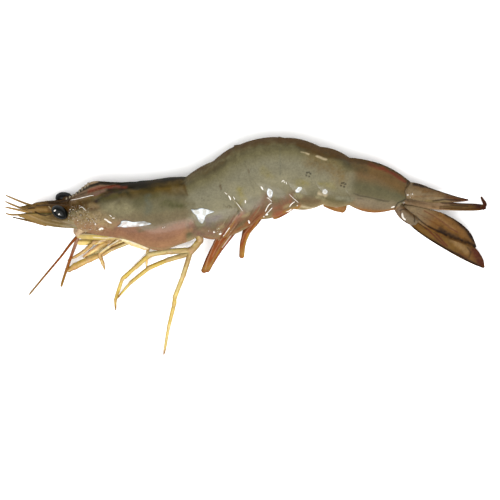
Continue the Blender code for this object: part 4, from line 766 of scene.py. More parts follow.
DEW_PATCHES = {
    "dew_brow": ((-59, 12.4), (-52, 7.4), 60), "dew_cheek": ((-56, 9.4), (-47.5, 4.2), 80),
    "dew_first_plate": ((-13.5, 6), (-4, 3.4), 16), "dew_tail_root": ((51, 17), (55.5, 12.5), 14),
}
DEW_RADII = (0.07, 0.17)
FILM_DEPTH = 0.08        # least height of a film above the shell
FILM_SAG = 0.35          # how far the film's level follows the highest point of its rim
FILM_WAVE = 0.09         # unevenness of its rim
FILM_RIM = 0.18          # share of the film over which its rim rises
SMALL_FILM = 9           # a film with fewer points than this is clear in the middle
FILM_CLEAR = 0.65        # how much clearer the middle of a small film is than its rim
# Beads are painted this much brighter than the shell: a painted highlight.
BEAD_GLOW = 1.6

# Camera and light.
VIEW_TILT = math.radians(22.0)
VIEW_AXIS = Vector((0.0, math.sin(VIEW_TILT), math.cos(VIEW_TILT)))
VIEW_TARGET = (1.333, 0.79, 8.0)
VIEW_DISTANCE = 1200.0
VIEW_WIDTH = 166.67      # width of the picture at the target
SENSOR_WIDTH = 36.0
KEY_DIRECTION = (0.0, -0.36, 0.93)
KEY_DISTANCE = 900.0
KEY_SIZE = (330.0, 250.0)
KEY_POWER = 4.6
PANEL_HEIGHT = 1500.0
PANEL_SIZE = 2600.0
PANEL_POWER = 51.5
SKY_STRENGTH = 0.92


# ---------------------------------------------------------------------------- tools


def linear(name):
    """A named paint as linear colour."""
    shares = np.array(PAINTS[name]) / 255
    return ALBEDO * np.where(shares <= 0.04045, shares / 12.92, ((shares + 0.055) / 1.055) ** 2.4)


def midplane(x):
    """Height of the plane of symmetry at x."""
    return float(np.interp(x, MIDPLANE_X, MIDPLANE_Z))


def side_view(co, lift=None):
    """Each point's place in the side view from the camera's height; lift replaces its height."""
    lift = co[:, 2] if lift is None else lift
    return np.column_stack([co[:, 0], co[:, 1] * math.cos(VIEW_TILT) - lift * math.sin(VIEW_TILT)])


def flank_view(co):
    """The side view with the right flank's points moved to the left flank."""
    level = np.interp(co[:, 0], MIDPLANE_X, MIDPLANE_Z)
    return side_view(co, level + np.abs(co[:, 2] - level))


def smooth_rows(stations, rows, slack=1.0):
    """The stations' numbers at even steps along the curve through their first three.

    slack is 1 for a round curve and near 0 for straight lines that bend at the stations.
    """
    table = np.array(stations, float)
    padded = np.vstack([2 * table[0] - table[1], table, 2 * table[-1] - table[-2]])
    dense = []
    for a, b, c, d in zip(padded, padded[1:], padded[2:], padded[3:]):
        leave, reach = slack * (c - a) / 2, slack * (d - b) / 2
        for t in np.linspace(0, 1, 24, endpoint=False):
            bend = (leave + reach - 2 * (c - b)) * t ** 3
            dense.append(bend + (3 * (c - b) - 2 * leave - reach) * t ** 2 + leave * t + b)
    dense.append(table[-1])
    dense = np.array(dense)
    steps = np.linalg.norm(np.diff(dense[:, :3], axis=0), axis=1)
    run = np.concatenate([[0.0], np.cumsum(steps)])
    even = np.linspace(0, run[-1], rows + 1)
    return np.column_stack([np.interp(even, run, column) for column in dense.T])


def formed_grid(columns, rows, place):
    """A grid with its corner (u, v), each from 0 to 1, at place(u, v) in millimetres."""
    bm = bmesh.new()
    bm.loops.layers.uv.new("UVMap")
    bmesh.ops.create_grid(bm, x_segments=columns, y_segments=rows, size=0.5, calc_uvs=True)
    around = bm.verts.layers.float.new("around")
    along = bm.verts.layers.float.new("along")
    for vert in bm.verts:
        u = min(1.0, max(0.0, vert.co.x + 0.5))
        v = min(1.0, max(0.0, vert.co.y + 0.5))
        vert[around] = u
        vert[along] = v
        vert.co = place(u, v) * MM
    return bm


def close_tube(bm):
    """Weld a rolled grid's seam and close its ends."""
    bmesh.ops.remove_doubles(bm, verts=bm.verts, dist=MERGE)
    bmesh.ops.holes_fill(bm, edges=bm.edges, sides=0)
    bmesh.ops.recalc_face_normals(bm, faces=bm.faces)


def face_outwards(bm):
    """Turn an open sheet's faces away from its middle."""
    bmesh.ops.recalc_face_normals(bm, faces=bm.faces)
    middle = sum((vert.co for vert in bm.verts), Vector()) / len(bm.verts)
    outward = sum((f.calc_center_median() - middle).dot(f.normal) * f.calc_area() for f in bm.faces)
    if outward < 0:
        bmesh.ops.reverse_faces(bm, faces=bm.faces)
    bm.normal_update()


def line_distance(xy, line):
    """Distance of each point (x, y) to a line through the given points."""
    best = np.full(len(xy), np.inf)
    for a, b in zip(line, line[1:]):
        start = np.array(a)
        run = np.array(b) - start
        share = np.clip(((xy - start) @ run) / max(run @ run, 1e-9), 0, 1)
        best = np.minimum(best, np.linalg.norm(xy - start - share[:, None] * run, axis=1))
    return best


def ease(value):
    """Smooth step of values from 0 to 1."""
    value = np.clip(value, 0, 1)
    return value * value * (3 - 2 * value)


def clouds(co, size, seed=0.0):
    """Soft noise from -1 to 1 at each point, with features of this size."""
    return np.array([noise.noise(Vector(point) / size + Vector((seed, seed, seed))) for point in co])


def bands(stops, share):
    """Colours blended between the stops, one row for each share."""
    places = [place for place, _ in stops]
    colours = np.array([linear(name) for _, name in stops])
    return np.column_stack([np.interp(share, places, channel) for channel in colours.T])


def blend_in(colours, name, amount):
    """The colours with a paint laid over them by this amount."""
    return colours + (linear(name) - colours) * np.clip(amount, 0, 1)[:, None]


def brush(colours, place, drift, marks):
    """The colours with each mark brushed over them, thin marks straighter than wide ones."""
    for name, strength, width, line, *soft in marks:
        softness = soft[0] if soft else 1
        freedom = min(1.0, width / 2)
        away = line_distance(place + drift[:, :2] * freedom, line)
        density = 1 + (drift[:, 2] - 1) * freedom
        colours = blend_in(colours, name, strength * density * ease((width - away) / (width * softness)))
    return colours


def drift_at(co, reach=1.0):
    """How far the marks wander from their drawn lines at each point, and how dense they are."""
    wander = [reach * clouds(co, DRIFT_SIZE), reach * clouds(co, DRIFT_SIZE, 7.0)]
    return np.column_stack([*wander, 1 + MARK_GRIT * clouds(co, GRIT_SIZE, 13.0)])


def grainy(tint, co, depth, size):
    """The colours, lighter and darker in soft clouds of this depth and size."""
    return tint * (1 + depth * clouds(co, size))[:, None]


def paint_cheek(tint, co, place):
    """Pale and brown speckles, densest along the cheek."""
    amount = ease(1 - line_distance(place, CHEEK) / CHEEK_REACH)
    tint = blend_in(tint, "scale_pale", 0.65 * amount * ease((clouds(co, 0.6, 11.0) - 0.16) / 0.2))
    return blend_in(tint, "face_brown", 0.55 * amount * ease((clouds(co, 0.7, 17.0) - 0.18) / 0.2))


def paint_body(co, share):
    """The shell's paint, the same on both flanks."""
    wander = np.clip(share + 0.03 * clouds(co, 3.0, 3.0), 0, 1)
    x = co[:, 0] + 0.8 * clouds(co, 4.0, 5.0)
    tint = bands(CARAPACE_BANDS, wander)
    tint += (bands(TAIL_BANDS, wander) - tint) * ease((x - HEAD_END) / BAND_BLEND)[:, None]
    tint += (bands(SIXTH_BANDS, wander) - tint) * ease((x - SIXTH_START) / (3 * BAND_BLEND))[:, None]
    place = flank_view(co)
    tint = brush(tint, place, drift_at(co), BODY_MARKS)
    near = line_distance(place, CHEEK) < CHEEK_REACH
    if near.any():
        tint[near] = paint_cheek(tint[near], co[near], place[near])
    for centre in DOT_RINGS:
        for k in range(DOTS_PER_RING):
            turn = 2 * math.pi * k / DOTS_PER_RING
            reach = DOT_RING_RADIUS * (1 + 0.35 * math.sin(5.0 * k))
            dot = np.array(centre) + reach * np.array((math.cos(turn), math.sin(turn)))
            away = np.linalg.norm(place - dot, axis=1)
            tint = blend_in(tint, "ink", 0.95 * ease((DOT_RADIUS - away) / DOT_RADIUS + 0.4))
    return tint


def emboss(bm, height_at):
    """Move the sheet's points along their normals by height_at(co, around, along)."""
    co = np.array([vert.co[:] for vert in bm.verts]) / MM
    around = np.array([vert[bm.verts.layers.float["around"]] for vert in bm.verts])
    along = np.array([vert[bm.verts.layers.float["along"]] for vert in bm.verts])
    for vert, height in zip(bm.verts, height_at(co, around, along)):
        vert.co += vert.normal * (height * MM)
    bm.normal_update()


# ---------------------------------------------------------------------------- materials


def feed(tree, socket, value):
    """Give an input socket a value, or a link from another socket."""
    if isinstance(value, bpy.types.NodeSocket):
        tree.links.new(value, socket)
    else:
        socket.default_value = value


def feed_all(tree, item, values):
    """Feed a node's inputs by name."""
    for name, value in values.items():
        feed(tree, item.inputs[name.replace("_", " ")], value)


def node(tree, kind, place, **values):
    """A new shader node with these inputs."""
    item = tree.nodes.new(kind)
    item.location = place
    feed_all(tree, item, values)
    return item


def compute(tree, operation, place, *values):
    """The result of a math node on these values."""
    item = node(tree, "ShaderNodeMath", place)
    item.operation = operation
    for socket, value in zip(item.inputs, values):
        feed(tree, socket, value)
    return item.outputs[0]


def stretch(tree, place, value, low, high, to_low=0.0, to_high=1.0):
    """The value's range from low to high, stretched to a new range."""
    item = node(tree, "ShaderNodeMapRange", place, Value=value, From_Min=low, From_Max=high,
                To_Min=to_low, To_Max=to_high)
    return item.outputs["Result"]


def make_mottle_group():
    """Shell skin: a tint with soft clouds and fine dark flecks, and the height of its grain."""
    group = bpy.data.node_groups.new("skin_mottle", "ShaderNodeTree")
    sockets = group.interface
    sockets.new_socket("Tint", in_out="INPUT", socket_type="NodeSocketColor")
    for name, value in (("Cloud Depth", 0.12), ("Fleck Depth", 0.35), ("Fleck Scale", 1600.0)):
        socket = sockets.new_socket(name, in_out="INPUT", socket_type="NodeSocketFloat")
        socket.default_value = value
    sockets.new_socket("Color", in_out="OUTPUT", socket_type="NodeSocketColor")
    sockets.new_socket("Height", in_out="OUTPUT", socket_type="NodeSocketFloat")
    source = node(group, "NodeGroupInput", (-900, 0)).outputs
    place = node(group, "ShaderNodeTexCoord", (-900, -300)).outputs["Object"]

    def noise_at(height, scale, detail, **values):
        return node(group, "ShaderNodeTexNoise", (-650, height), Vector=place, Scale=scale,
                    Detail=detail, **values).outputs["Fac"]

    fine = noise_at(460, 1500.0, 2.0)
    cloud = noise_at(200, 260.0, 5.0, Roughness=0.6)
    patch = noise_at(-380, 420.0, 3.0)
    grain = noise_at(-620, 3200.0, 2.0)
    fleck = node(group, "ShaderNodeTexVoronoi", (-650, -80), Vector=place, Scale=source["Fleck Scale"])

    swing = stretch(group, (-420, 200), cloud, 0.3, 0.7, -1.0, 1.0)
    depth = compute(group, "MULTIPLY_ADD", (-220, 200), swing, source["Cloud Depth"], 1.0)
    flutter = stretch(group, (-220, 420), fine, 0.3, 0.7, 0.90, 1.10)
    speckle = compute(group, "MULTIPLY", (60, 200), depth, flutter)
    dots = stretch(group, (-420, -80), fleck.outputs["Distance"], 0.16, 0.36, 1.0, 0.0)
    zone = stretch(group, (-420, -380), patch, 0.42, 0.62)
    spots = compute(group, "MULTIPLY", (-220, -200), dots, zone)
    darken = compute(group, "MULTIPLY", (-40, -200), spots, source["Fleck Depth"])
    keep = compute(group, "SUBTRACT", (120, -200), 1.0, darken)
    shade = compute(group, "MULTIPLY", (280, 0), speckle, keep)
    tinted = node(group, "ShaderNodeVectorMath", (460, 100))
    tinted.operation = "SCALE"
    feed(group, tinted.inputs[0], source["Tint"])
    feed(group, tinted.inputs["Scale"], shade)
    height = compute(group, "MULTIPLY_ADD", (280, -450), grain, 0.5, cloud)
    node(group, "NodeGroupOutput", (700, 0), Color=tinted.outputs[0], Height=height)
    return group


def make_tinted(name):
    """A new material, and the socket with the tint that is painted on the mesh."""
    material = bpy.data.materials.new(name)
    material.use_nodes = True
    tint = node(material.node_tree, "ShaderNodeAttribute", (-700, 100))
    tint.attribute_name = "tint"
    return material, tint.outputs["Color"]


def make_skin(name, mottle):
    """A wet skin: its tint mottled, with a fine grain under a thin coat."""
    roughness, coat, clouding, flecks, fleck_scale, bump = SKINS[name]
    material, tint = make_tinted(name)
    tree = material.node_tree
    skin = node(tree, "ShaderNodeGroup", (-450, 100))
    skin.node_tree = mottle
    feed_all(tree, skin, {"Tint": tint, "Cloud Depth": clouding, "Fleck Depth": flecks,
                          "Fleck Scale": fleck_scale})
    relief = node(tree, "ShaderNodeBump", (-200, -200), Strength=bump, Distance=GRAIN_DEPTH,
                  Height=skin.outputs["Height"])
    feed_all(tree, tree.nodes["Principled BSDF"], {
        "Base Color": skin.outputs["Color"],
        "Normal": relief.outputs["Normal"],
        "Roughness": roughness,
        "Specular IOR Level": SKIN_SPECULAR,
        "Coat Weight": coat,
        "Coat Roughness": COAT_ROUGHNESS,
    })
    return material


def make_water():
    """Clear water on the shell: it shows the shell's tint, painted paler as a painted highlight, under a
    strong gloss.
    """
    material, tint = make_tinted("water")
    tree = material.node_tree
    place = node(tree, "ShaderNodeTexCoord", (-900, -200)).outputs["Object"]
    ripple = node(tree, "ShaderNodeTexNoise", (-700, -200), Vector=place, Scale=420.0, Detail=2.0)
    relief = node(tree, "ShaderNodeBump", (-300, -200), Strength=0.6, Distance=RIPPLE_DEPTH,
                  Height=ripple.outputs["Fac"])
    feed_all(tree, tree.nodes["Principled BSDF"], {
        "Base Color": tint, "Normal": relief.outputs["Normal"], "Roughness": 0.08, "IOR": 1.33,
    })
    return material


# ---------------------------------------------------------------------------- pieces


def finish_piece(name, bm, material, colour_at, shell=0.0):
    """Press the mesh flat on the floor, make it an object and paint it."""
    mesh = bpy.data.meshes.new(name)
    for vert in bm.verts:
        vert.co.z = max(vert.co.z, 0.0)
    for edge in bm.edges:
        edge.smooth = not edge.is_boundary
    bm.to_mesh(mesh)
    bm.free()
    count = len(mesh.vertices)
    co = np.zeros(count * 3, np.float32)
    mesh.vertices.foreach_get("co", co)
    co = co.reshape(-1, 3).astype(float) / MM
    places = np.zeros((2, count), np.float32)
    for row, axis in zip(places, ("around", "along")):
        if axis in mesh.attributes:
            mesh.attributes[axis].data.foreach_get("value", row)
            mesh.attributes.remove(mesh.attributes[axis])
    colours = colour_at(co, *places.astype(float))
    layer = mesh.color_attributes.new("tint", "FLOAT_COLOR", "POINT")
    layer.data.foreach_set("color", np.column_stack([colours, np.ones(count)]).astype(np.float32).ravel())
    mesh.materials.append(material)
    mesh.shade_smooth()
    piece = bpy.data.objects.new(name, mesh)
    bpy.context.scene.collection.objects.link(piece)
    if shell:
        wall = piece.modifiers.new("Wall", "SOLIDIFY")
        wall.thickness = shell * MM
        wall.offset = -1.0
    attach(piece, "root")
    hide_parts(NODE)


def edge_offsets(edge):
    """Share of the way from back to lower end, and sideways offset, of hinge and corner."""
    back, hinge, corner, lower = (Vector(point) for point in edge[:4])
    axis = (lower - back).normalized()
    across = Vector((-axis.y, axis.x))
    length = (lower - back).length
    table = [(0.0, 0.0)]
    for point in (hinge, corner):
        table.append(((point - back).dot(axis) / length, (point - back).dot(across)))
    table.append((1.0, 0.0))
    return np.array(table)


def flank_share(turn):
    """Share of the way from the back to the lower edge."""
    return (1 - np.cos(WIDEST * np.abs(turn))) / (1 - math.cos(WIDEST))


def flank_point(back, lower, half, offsets, turn):
    """Point of a ring of the body. turn runs from -1, left, over the back to 1, right."""
    share = float(flank_share(turn))
    axis = lower - back
    across = Vector((-axis.y, axis.x)).normalized()
    step = min(2, int(np.searchsorted(offsets[1:3, 0], share)))
    (s0, v0), (s1, v1) = offsets[step], offsets[step + 1]
    t = min(1.0, max(0.0, (share - s0) / max(s1 - s0, 1e-6)))
    offset = v0 + (v1 - v0) * (0.5 * t + 0.5 * t * t * (3 - 2 * t))
    place = back + axis * share + across * offset
    reach = half * math.sin(WIDEST * abs(turn))
    return Vector((place.x, place.y, midplane(place.x) + (reach if turn < 0 else -reach)))


def ring_outline(stations, row):
    """Back, lower end, half width and offsets of the carapace's ring in this row."""
    x, top, bottom, half = stations[row]
    first_x, last_x = CARAPACE_STATIONS[0][0], CARAPACE_STATIONS[-1][0]
    edge = REAR_EDGES[0]
    rear = max(0.0, (x - first_x) / (last_x - first_x)) ** REAR_FORM_POWER
    face = max(0.0, 1 - (x - first_x) / FACE_DEPTH) ** 2
    slant = (edge[3][0] - edge[0][0]) * rear + FACE_SLANT * face
    offsets = edge_offsets(edge) * np.array((1.0, rear))
    return Vector((x, top)), Vector((x + slant, bottom)), half, offsets


def plate_outline(number, share):
    """Back, lower end, half width and offsets of a tail plate's ring at this share of it."""
    before, after = REAR_EDGES[number], REAR_EDGES[number + 1]
    swell = 4 * share * (1 - share)
    back = Vector(before[0]).lerp(Vector(after[0]), share)
    lower = Vector(before[3]).lerp(Vector(after[3]), share)
    axis = (lower - back).normalized()
    back -= axis * (BACK_BULGE[number] * swell - SHELL_STEP * (1 - share))
    lower += axis * LOWER_BULGE[number] * swell
    half = before[4] + (after[4] - before[4]) * share + SIDE_BULGE * swell - SHELL_STEP * (1 - share)
    offsets = edge_offsets(before) * (1 - share) + edge_offsets(after) * share
    return back, lower, half, offsets


def make_shell_piece(name, rings, columns, height, skin):
    """A piece of the shell through these rings, embossed by height and painted."""
    rows = len(rings) - 1

    def place(u, v):
        return flank_point(*rings[round(v * rows)], 2 * u - 1)

    def colour(co, around, along):
        return paint_body(co, flank_share(2 * around - 1))

    bm = formed_grid(columns, rows, place)
    face_outwards(bm)
    emboss(bm, height)
    finish_piece(name, bm, skin, colour, SHELL_THICKNESS)


def make_carapace(skin):
    """The head shield, from the eyes' notch to its rear edge over the first tail plate."""
    columns, rows = CARAPACE_GRID
    stations = smooth_rows(CARAPACE_STATIONS, rows)
    rings = [ring_outline(stations, row) for row in range(rows + 1)]

    def height(co, around, along):
        rise = SHELL_WAVES * clouds(co, WAVE_LENGTH)
        for line, width, amount in CARAPACE_RELIEF:
            rise += amount * np.exp(-(line_distance(co[:, :2], line) / width) ** 2)
        return rise - FACE_CURL * ease((FACE_CURL_LENGTH - along) / FACE_CURL_LENGTH)

    make_shell_piece("carapace", rings, columns, height, skin)


def make_plate(number, skin):
    """One tail plate, from under the plate before it to its own rear edge."""
    columns, rows = SIXTH_PLATE_GRID if number == 5 else PLATE_GRID
    before, after = REAR_EDGES[number], REAR_EDGES[number + 1]
    tucked = (Vector(before[0]) - Vector(after[0])).normalized() * PLATE_OVERLAP

    rings = []
    for row in range(rows + 1):
        share = max(0.0, (row - TUCK_ROWS) / (rows - TUCK_ROWS))
        back, lower, half, offsets = plate_outline(number, share)
        under = max(0.0, 1 - row / TUCK_ROWS)
        rings.append((back + tucked * under, lower + tucked * under, half - TUCK_DEPTH * under, offsets))

    def height(co, around, along):
        rise = SHELL_WAVES * clouds(co, WAVE_LENGTH)
        low = ease((flank_share(2 * around - 1) - LIP_START[0]) / 0.2)
        rise += LIP_HEIGHT * low * ease((along - LIP_START[1]) / 0.06)
        level = np.interp(co[:, 0], MIDPLANE_X, MIDPLANE_Z)
        above = co[:, 1] > np.interp(co[:, 0], *zip(*[edge[1] for edge in REAR_EDGES]))
        return rise + KEEL_HEIGHT[number] * np.exp(-((co[:, 2] - level) / KEEL_WIDTH) ** 2) * above

    make_shell_piece(f"tail_plate_{number + 1}", rings, columns, height, skin)


def make_flesh(skin):
    """The body under the plates, with the belly between their lower edges."""
    stations = smooth_rows(CARAPACE_STATIONS[:-1], FLESH_HEAD_ROWS)
    rings = [ring_outline(stations, row) for row in range(FLESH_HEAD_ROWS + 1)]
    shares = np.linspace(0, 1, FLESH_PLATE_ROWS + 1)[1:]
    for number in range(TAIL_PLATES):
        rings += [plate_outline(number, share) for share in shares]
    rows = len(rings) - 1

    def place(u, v):
        back, lower, half, offsets = rings[round(v * rows)]
        middle = back.lerp(lower, 0.5)
        inset = 1 - FLESH_INSET / max(half, 1.0)
        if u <= FLANK_COLUMNS:
            point = flank_point(back, lower, half, offsets, 2 * u / FLANK_COLUMNS - 1)
            level = midplane(point.x)
            return Vector((
                middle.x + (point.x - middle.x) * inset,
                middle.y + (point.y - middle.y) * inset,
                level + (point.z - level) * inset,
            ))
        across = 1 - 2 * (u - FLANK_COLUMNS) / (1 - FLANK_COLUMNS)
        ridge = 1 + BELLY_RIDGE * math.cos(2 * math.pi * v * rows / RIDGE_ROWS)
        rise = (back - lower).normalized() * BELLY_RECESS * ridge * (1 - across ** 4) * (half / BELLY_HALF)
        floor = middle + (lower - middle) * inset + rise
        return Vector((floor.x, floor.y, midplane(floor.x) - across * half * EDGE_TUCK * inset))

    def colour(co, around, along):
        tint = bands(((0.0, "face_brown"), (0.06, "clay"), (0.4, "salmon"), (1.0, "flesh")), along)
        tint = blend_in(tint, "cream", 0.4 + 0.4 * clouds(co, 2.0))
        furrow = ease(0.5 + 0.9 * np.cos(2 * np.pi * along * rows / RIDGE_ROWS))
        return blend_in(tint, "salmon_deep", 0.5 * furrow * (around > FLANK_COLUMNS))

    bm = formed_grid(FLESH_COLUMNS, rows, place)
    close_tube(bm)
    finish_piece("flesh", bm, skin, colour)


def tooth_height(x):
    """Height of the teeth above the rostrum's ridge at each x."""
    height = np.zeros_like(x)
    for number in range(TOOTH_COUNT):
        root = TOOTH_START - TOOTH_PITCH * number - TOOTH_PITCH_GAIN * number ** 2
        ahead = (root - x) / TOOTH_LEAN
        height = np.maximum(height, np.interp(ahead, (0.0, 0.5, 1.0, 1.35), (0.0, 0.4, 1.0, 0.0)))
    return TOOTH_RISE * height


def make_rostrum(skin):
    """The toothed blade on the mid line, with a rounded rib along each side."""
    columns, rows = ROSTRUM_GRID
    start, end = RIDGE[0][0], RIDGE[-1][0]
    xs = np.linspace(start, end, rows + 1)
    path = smooth_rows([(px, py, 0.0) for px, py in RIDGE], 120)
    ridges = np.interp(-xs, -path[:, 0], path[:, 1])
    keels = np.interp(-xs, [-px for px, _ in RIDGE_KEEL], [py for _, py in RIDGE_KEEL])
    table = np.column_stack([xs, ridges, keels, tooth_height(xs)])

    def place(u, v):
        x, ridge, keel, tooth = table[round(v * rows)]
        depth = abs(2 * u - 1)
        crown = ridge + tooth * (1 - min(1.0, depth / 0.3))
        y = crown + (keel - crown) * depth
        swell = min(1.0, 0.25 + 1.3 * depth) + 0.35 * math.exp(-((depth - 0.62) / 0.12) ** 2)
        taper = min(1.0, 0.25 + (x - end) / 12.0)
        reach = ROSTRUM_HALF * swell * taper * math.copysign(1.0, 0.5 - u)
        return Vector((x, y, midplane(x) + (0.0 if depth == 0 else reach)))

    def colour(co, around, along):
        depth = np.abs(2 * around - 1)
        tint = bands(((-70.0, "feeler_tan"), (-64.0, "feeler_brown"), (-60.0, "face_brown"),
                      (-55.0, "rose_grey")), co[:, 0])
        tint = brush(tint, flank_view(co), drift_at(co, 0.3), ROSTRUM_MARKS)
        teeth = tooth_height(co[:, 0]) / TOOTH_RISE
        return blend_in(tint, "tooth", 0.85 * ease(teeth * 2.0 - 0.6) * ease((0.2 - depth) / 0.1))

    bm = formed_grid(columns, rows, place)
    face_outwards(bm)
    finish_piece("rostrum", bm, skin, colour)


def make_eye(side, gloss, skin):
    """One eye on its short stalk."""
    centre, root, angle = EYES[side]
    bm = bmesh.new()
    bmesh.ops.create_uvsphere(bm, u_segments=EYE_GRID[0], v_segments=EYE_GRID[1], radius=1.0)
    bmesh.ops.scale(bm, verts=bm.verts, vec=Vector(EYE_HALF) * MM)
    turn = Matrix.Rotation(math.radians(angle), 4, "Z")
    bmesh.ops.transform(bm, verts=bm.verts, matrix=Matrix.Translation(Vector(centre) * MM) @ turn)

    def eye_colour(co, around, along):
        tint = np.tile(linear("eye_black"), (len(co), 1))
        # A painted reflection: a blue-grey sheen on the eye's front.
        sheen = ease((centre[0] - 1.2 - co[:, 0]) / 1.2) * ease((1.6 - abs(co[:, 2] - centre[2])) / 1.2)
        tint = blend_in(tint, "eye_grey", 0.4 * sheen)
        away = np.linalg.norm(co - np.array(root), axis=1)
        return blend_in(tint, "face_brown", ease((2.6 - away) / 1.2))

    finish_piece(f"eye_{side}", bm, gloss, eye_colour)
    stations = ((*root, STALK_RADIUS), *[(*Vector(root).lerp(Vector(centre), s), STALK_RADIUS * w)
                                         for s, w in ((0.3, 1.05), (0.6, 1.2), (0.9, 1.0))])
    make_limb(f"eye_stalk_{side}", stations, skin,
              ((0.0, "face_brown"), (1.0, "feeler_brown")), "face_brown", jointed=False)


def limb_frames(stations, rows, slack=1.0):
    """Rows of a limb: place, two directions across it, and the station's numbers there."""
    table = smooth_rows(stations, rows, slack)
    places = [Vector(row[:3]) for row in table]
    frames = []
    for row, place in enumerate(places):
        ahead = places[min(row + 1, rows)] - places[max(row - 1, 0)]
        level = Vector((-ahead.y, ahead.x, 0.0)).normalized()
        upward = ahead.cross(level).normalized()
        frames.append((place, level, upward, table[row]))
    return frames


def side_glow(name):
    """How much brighter a front limb is painted for lying in the shade of the near ones."""
    return FAR_GLOW if name.endswith("right") and name[4] not in REAR_LEGS else 1.0


def station_shares(stations):
    """Share of the limb's length at which each station lies."""
    steps = [math.dist(a[:3], b[:3]) for a, b in zip(stations, stations[1:])]
    run = np.concatenate([[0.0], np.cumsum(steps)])
    return run / run[-1]


def make_limb(name, stations, skin, stops, edge, flat=1.0, jointed=True, rings=0, sides=20,
              rows=70, slack=0.35, glow=1.0, girth=1.0, edging=0.65, core=None, marks=()):
    """A tapered limb with swollen joints or fine rings, painted along its length."""
    frames = limb_frames(stations, rows, slack)
    length = sum(math.dist(a[:3], b[:3]) for a, b in zip(stations, stations[1:]))
    joints = station_shares(stations)[1:-1] if jointed else ()
    blur = JOINT_LENGTH / length
    tip = TIP_LENGTH / length

    def swell(v):
        amount = girth
        for joint in joints:
            amount += SWELLING * math.exp(-((v - joint) / blur) ** 2)
            amount -= SWELLING * math.exp(-((v - joint - 1.6 * blur) / blur) ** 2)
        if rings:
            amount += SWELLING * math.cos(2 * math.pi * rings * v)
        return amount * math.sqrt(max(0.0009, 1 - max(0.0, (v - 1 + tip) / tip) ** 2))

    def place(u, v):
        centre, level, upward, station = frames[round(v * rows)]
        turn = 2 * math.pi * u
        radius = station[3] * swell(v)
        return centre + level * (radius * math.cos(turn)) + upward * (radius * flat * math.sin(turn))

    def colour(co, around, along):
        tint = bands(stops, along)
        # The limb's sides, where it turns away from view, are painted darker and its middle paler: partly
        # the limb's own colour, partly painted shade and painted highlight.
        side = np.abs(np.cos(2 * np.pi * around))
        tint = blend_in(tint, edge, edging * ease((side - 0.45) / 0.5))
        if core:
            tint = blend_in(tint, core, ease((0.45 - side) / 0.4) * ease(0.5 + clouds(co, 3.0, 23.0)))
        for joint in joints:
            ring = np.exp(-((along - joint) / (0.9 * blur)) ** 2)
            tint = blend_in(tint, "leg_pink", 0.35 * ring)
            tint = blend_in(tint, edge, 0.3 * np.exp(-((along - joint - 1.3 * blur) / (0.35 * blur)) ** 2))
        if marks:
            tint = brush(tint, side_view(co), drift_at(co, 0.3), marks)
        # glow brightens the paint: painted light
        return np.clip(grainy(glow * tint, co, 0.10, 1.2), 0, BRIGHTEST)

    bm = formed_grid(sides, rows, place)
    close_tube(bm)
    finish_piece(name, bm, skin, colour)


def make_blade(name, stations, tilt, skin, colour, rib=BLADE_RIB):
    """A thin blade with a rib along the middle of each face and sharp edges."""
    columns, rows = BLADE_GRID
    frames = limb_frames(stations, rows)
    turn = math.radians(tilt)

    def place(u, v):
        centre, level, upward, station = frames[round(v * rows)]
        wide, thick = station[3], station[4]
        width = level * math.cos(turn) + upward * math.sin(turn)
        depth = upward * math.cos(turn) - level * math.sin(turn)
        angle = 2 * math.pi * u
        across = math.cos(angle)
        body = math.copysign(abs(math.sin(angle)) ** 0.8, math.sin(angle))
        lift = body * (1 + rib * math.exp(-(across / 0.10) ** 2))
        return centre + width * (wide * across) + depth * (thick * lift)

    bm = formed_grid(columns, rows, place)
    close_tube(bm)
    finish_piece(name, bm, skin, colour)


def scale_colour(co, around, along):
    """The antennal scales' paint, with an olive hem along their inner edge."""
    tint = bands(((0, "beige"), (0.4, "scale_tan"), (1, "feeler_tan")), along)
    tint = blend_in(tint, "scale_edge", 0.85 * ease((-np.cos(2 * np.pi * around) - 0.70) / 0.2))
    tint = brush(tint, flank_view(co), drift_at(co, 0.3), SCALE_MARKS)
    return grainy(tint, co, 0.10, 1.5)


def fan_colour(name):
    """A painter for this blade of the tail fan."""
    stops, marks = FAN_PAINTS[name]

    def colour(co, around, along):
        tint = brush(bands(stops, along), side_view(co), drift_at(co, 0.5), marks)
        return grainy(tint, co, 0.14, 1.6)
    return colour


def mirrored(stations, drop):
    """The same blade on the right side of the plane of symmetry."""
    return [(x, y + drop, 2 * midplane(x) - z, wide, thick) for x, y, z, wide, thick in stations]


# ---------------------------------------------------------------------------- water


def skin_surface():
    """Search tree over all that has been made, and the tint of each of its faces."""
    bm = bmesh.new()
    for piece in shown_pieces():
        if "tint" in piece.data.color_attributes:
            bm.from_mesh(piece.data)
    tint = bm.verts.layers.float_color["tint"]
    tints = [np.mean([vert[tint][:3] for vert in face.verts], axis=0) for face in bm.faces]
    tree = BVHTree.FromBMesh(bm)
    bm.free()
    return tree, tints


def shell_under(surface, x, y):
    """Place and tint of the shell at (x, y) of the side view, or None."""
    tree, tints = surface
    start = Vector((x, y * math.cos(VIEW_TILT), -y * math.sin(VIEW_TILT))) * MM
    hit, _, face, _ = tree.ray_cast(start + VIEW_AXIS * 0.1, -VIEW_AXIS)
    return None if hit is None else (hit / MM, tints[face])


def water_colour(surface, paint, low, high, clear=0.0, glow=1.0):
    """A painter that lays this much pale paint, a painted highlight, from low to high, over the shell's
    tint.

    clear is how much of it the middle loses, and glow how much brighter than the shell it is.
    """
    def colour(co, around, along):
        rows = []
        for x, y in flank_view(co):
            found = shell_under(surface, x, y)
            rows.append(found[1] if found else linear("abdomen_mid"))
        veil = low + (high - low) * ease(0.5 + 1.1 * clouds(co, 1.3, 5.0))
        veil *= 1 - clear * ease((along - 0.3) / 0.4)
        return np.clip(glow * blend_in(np.array(rows), paint, veil), 0, BRIGHTEST)
    return colour


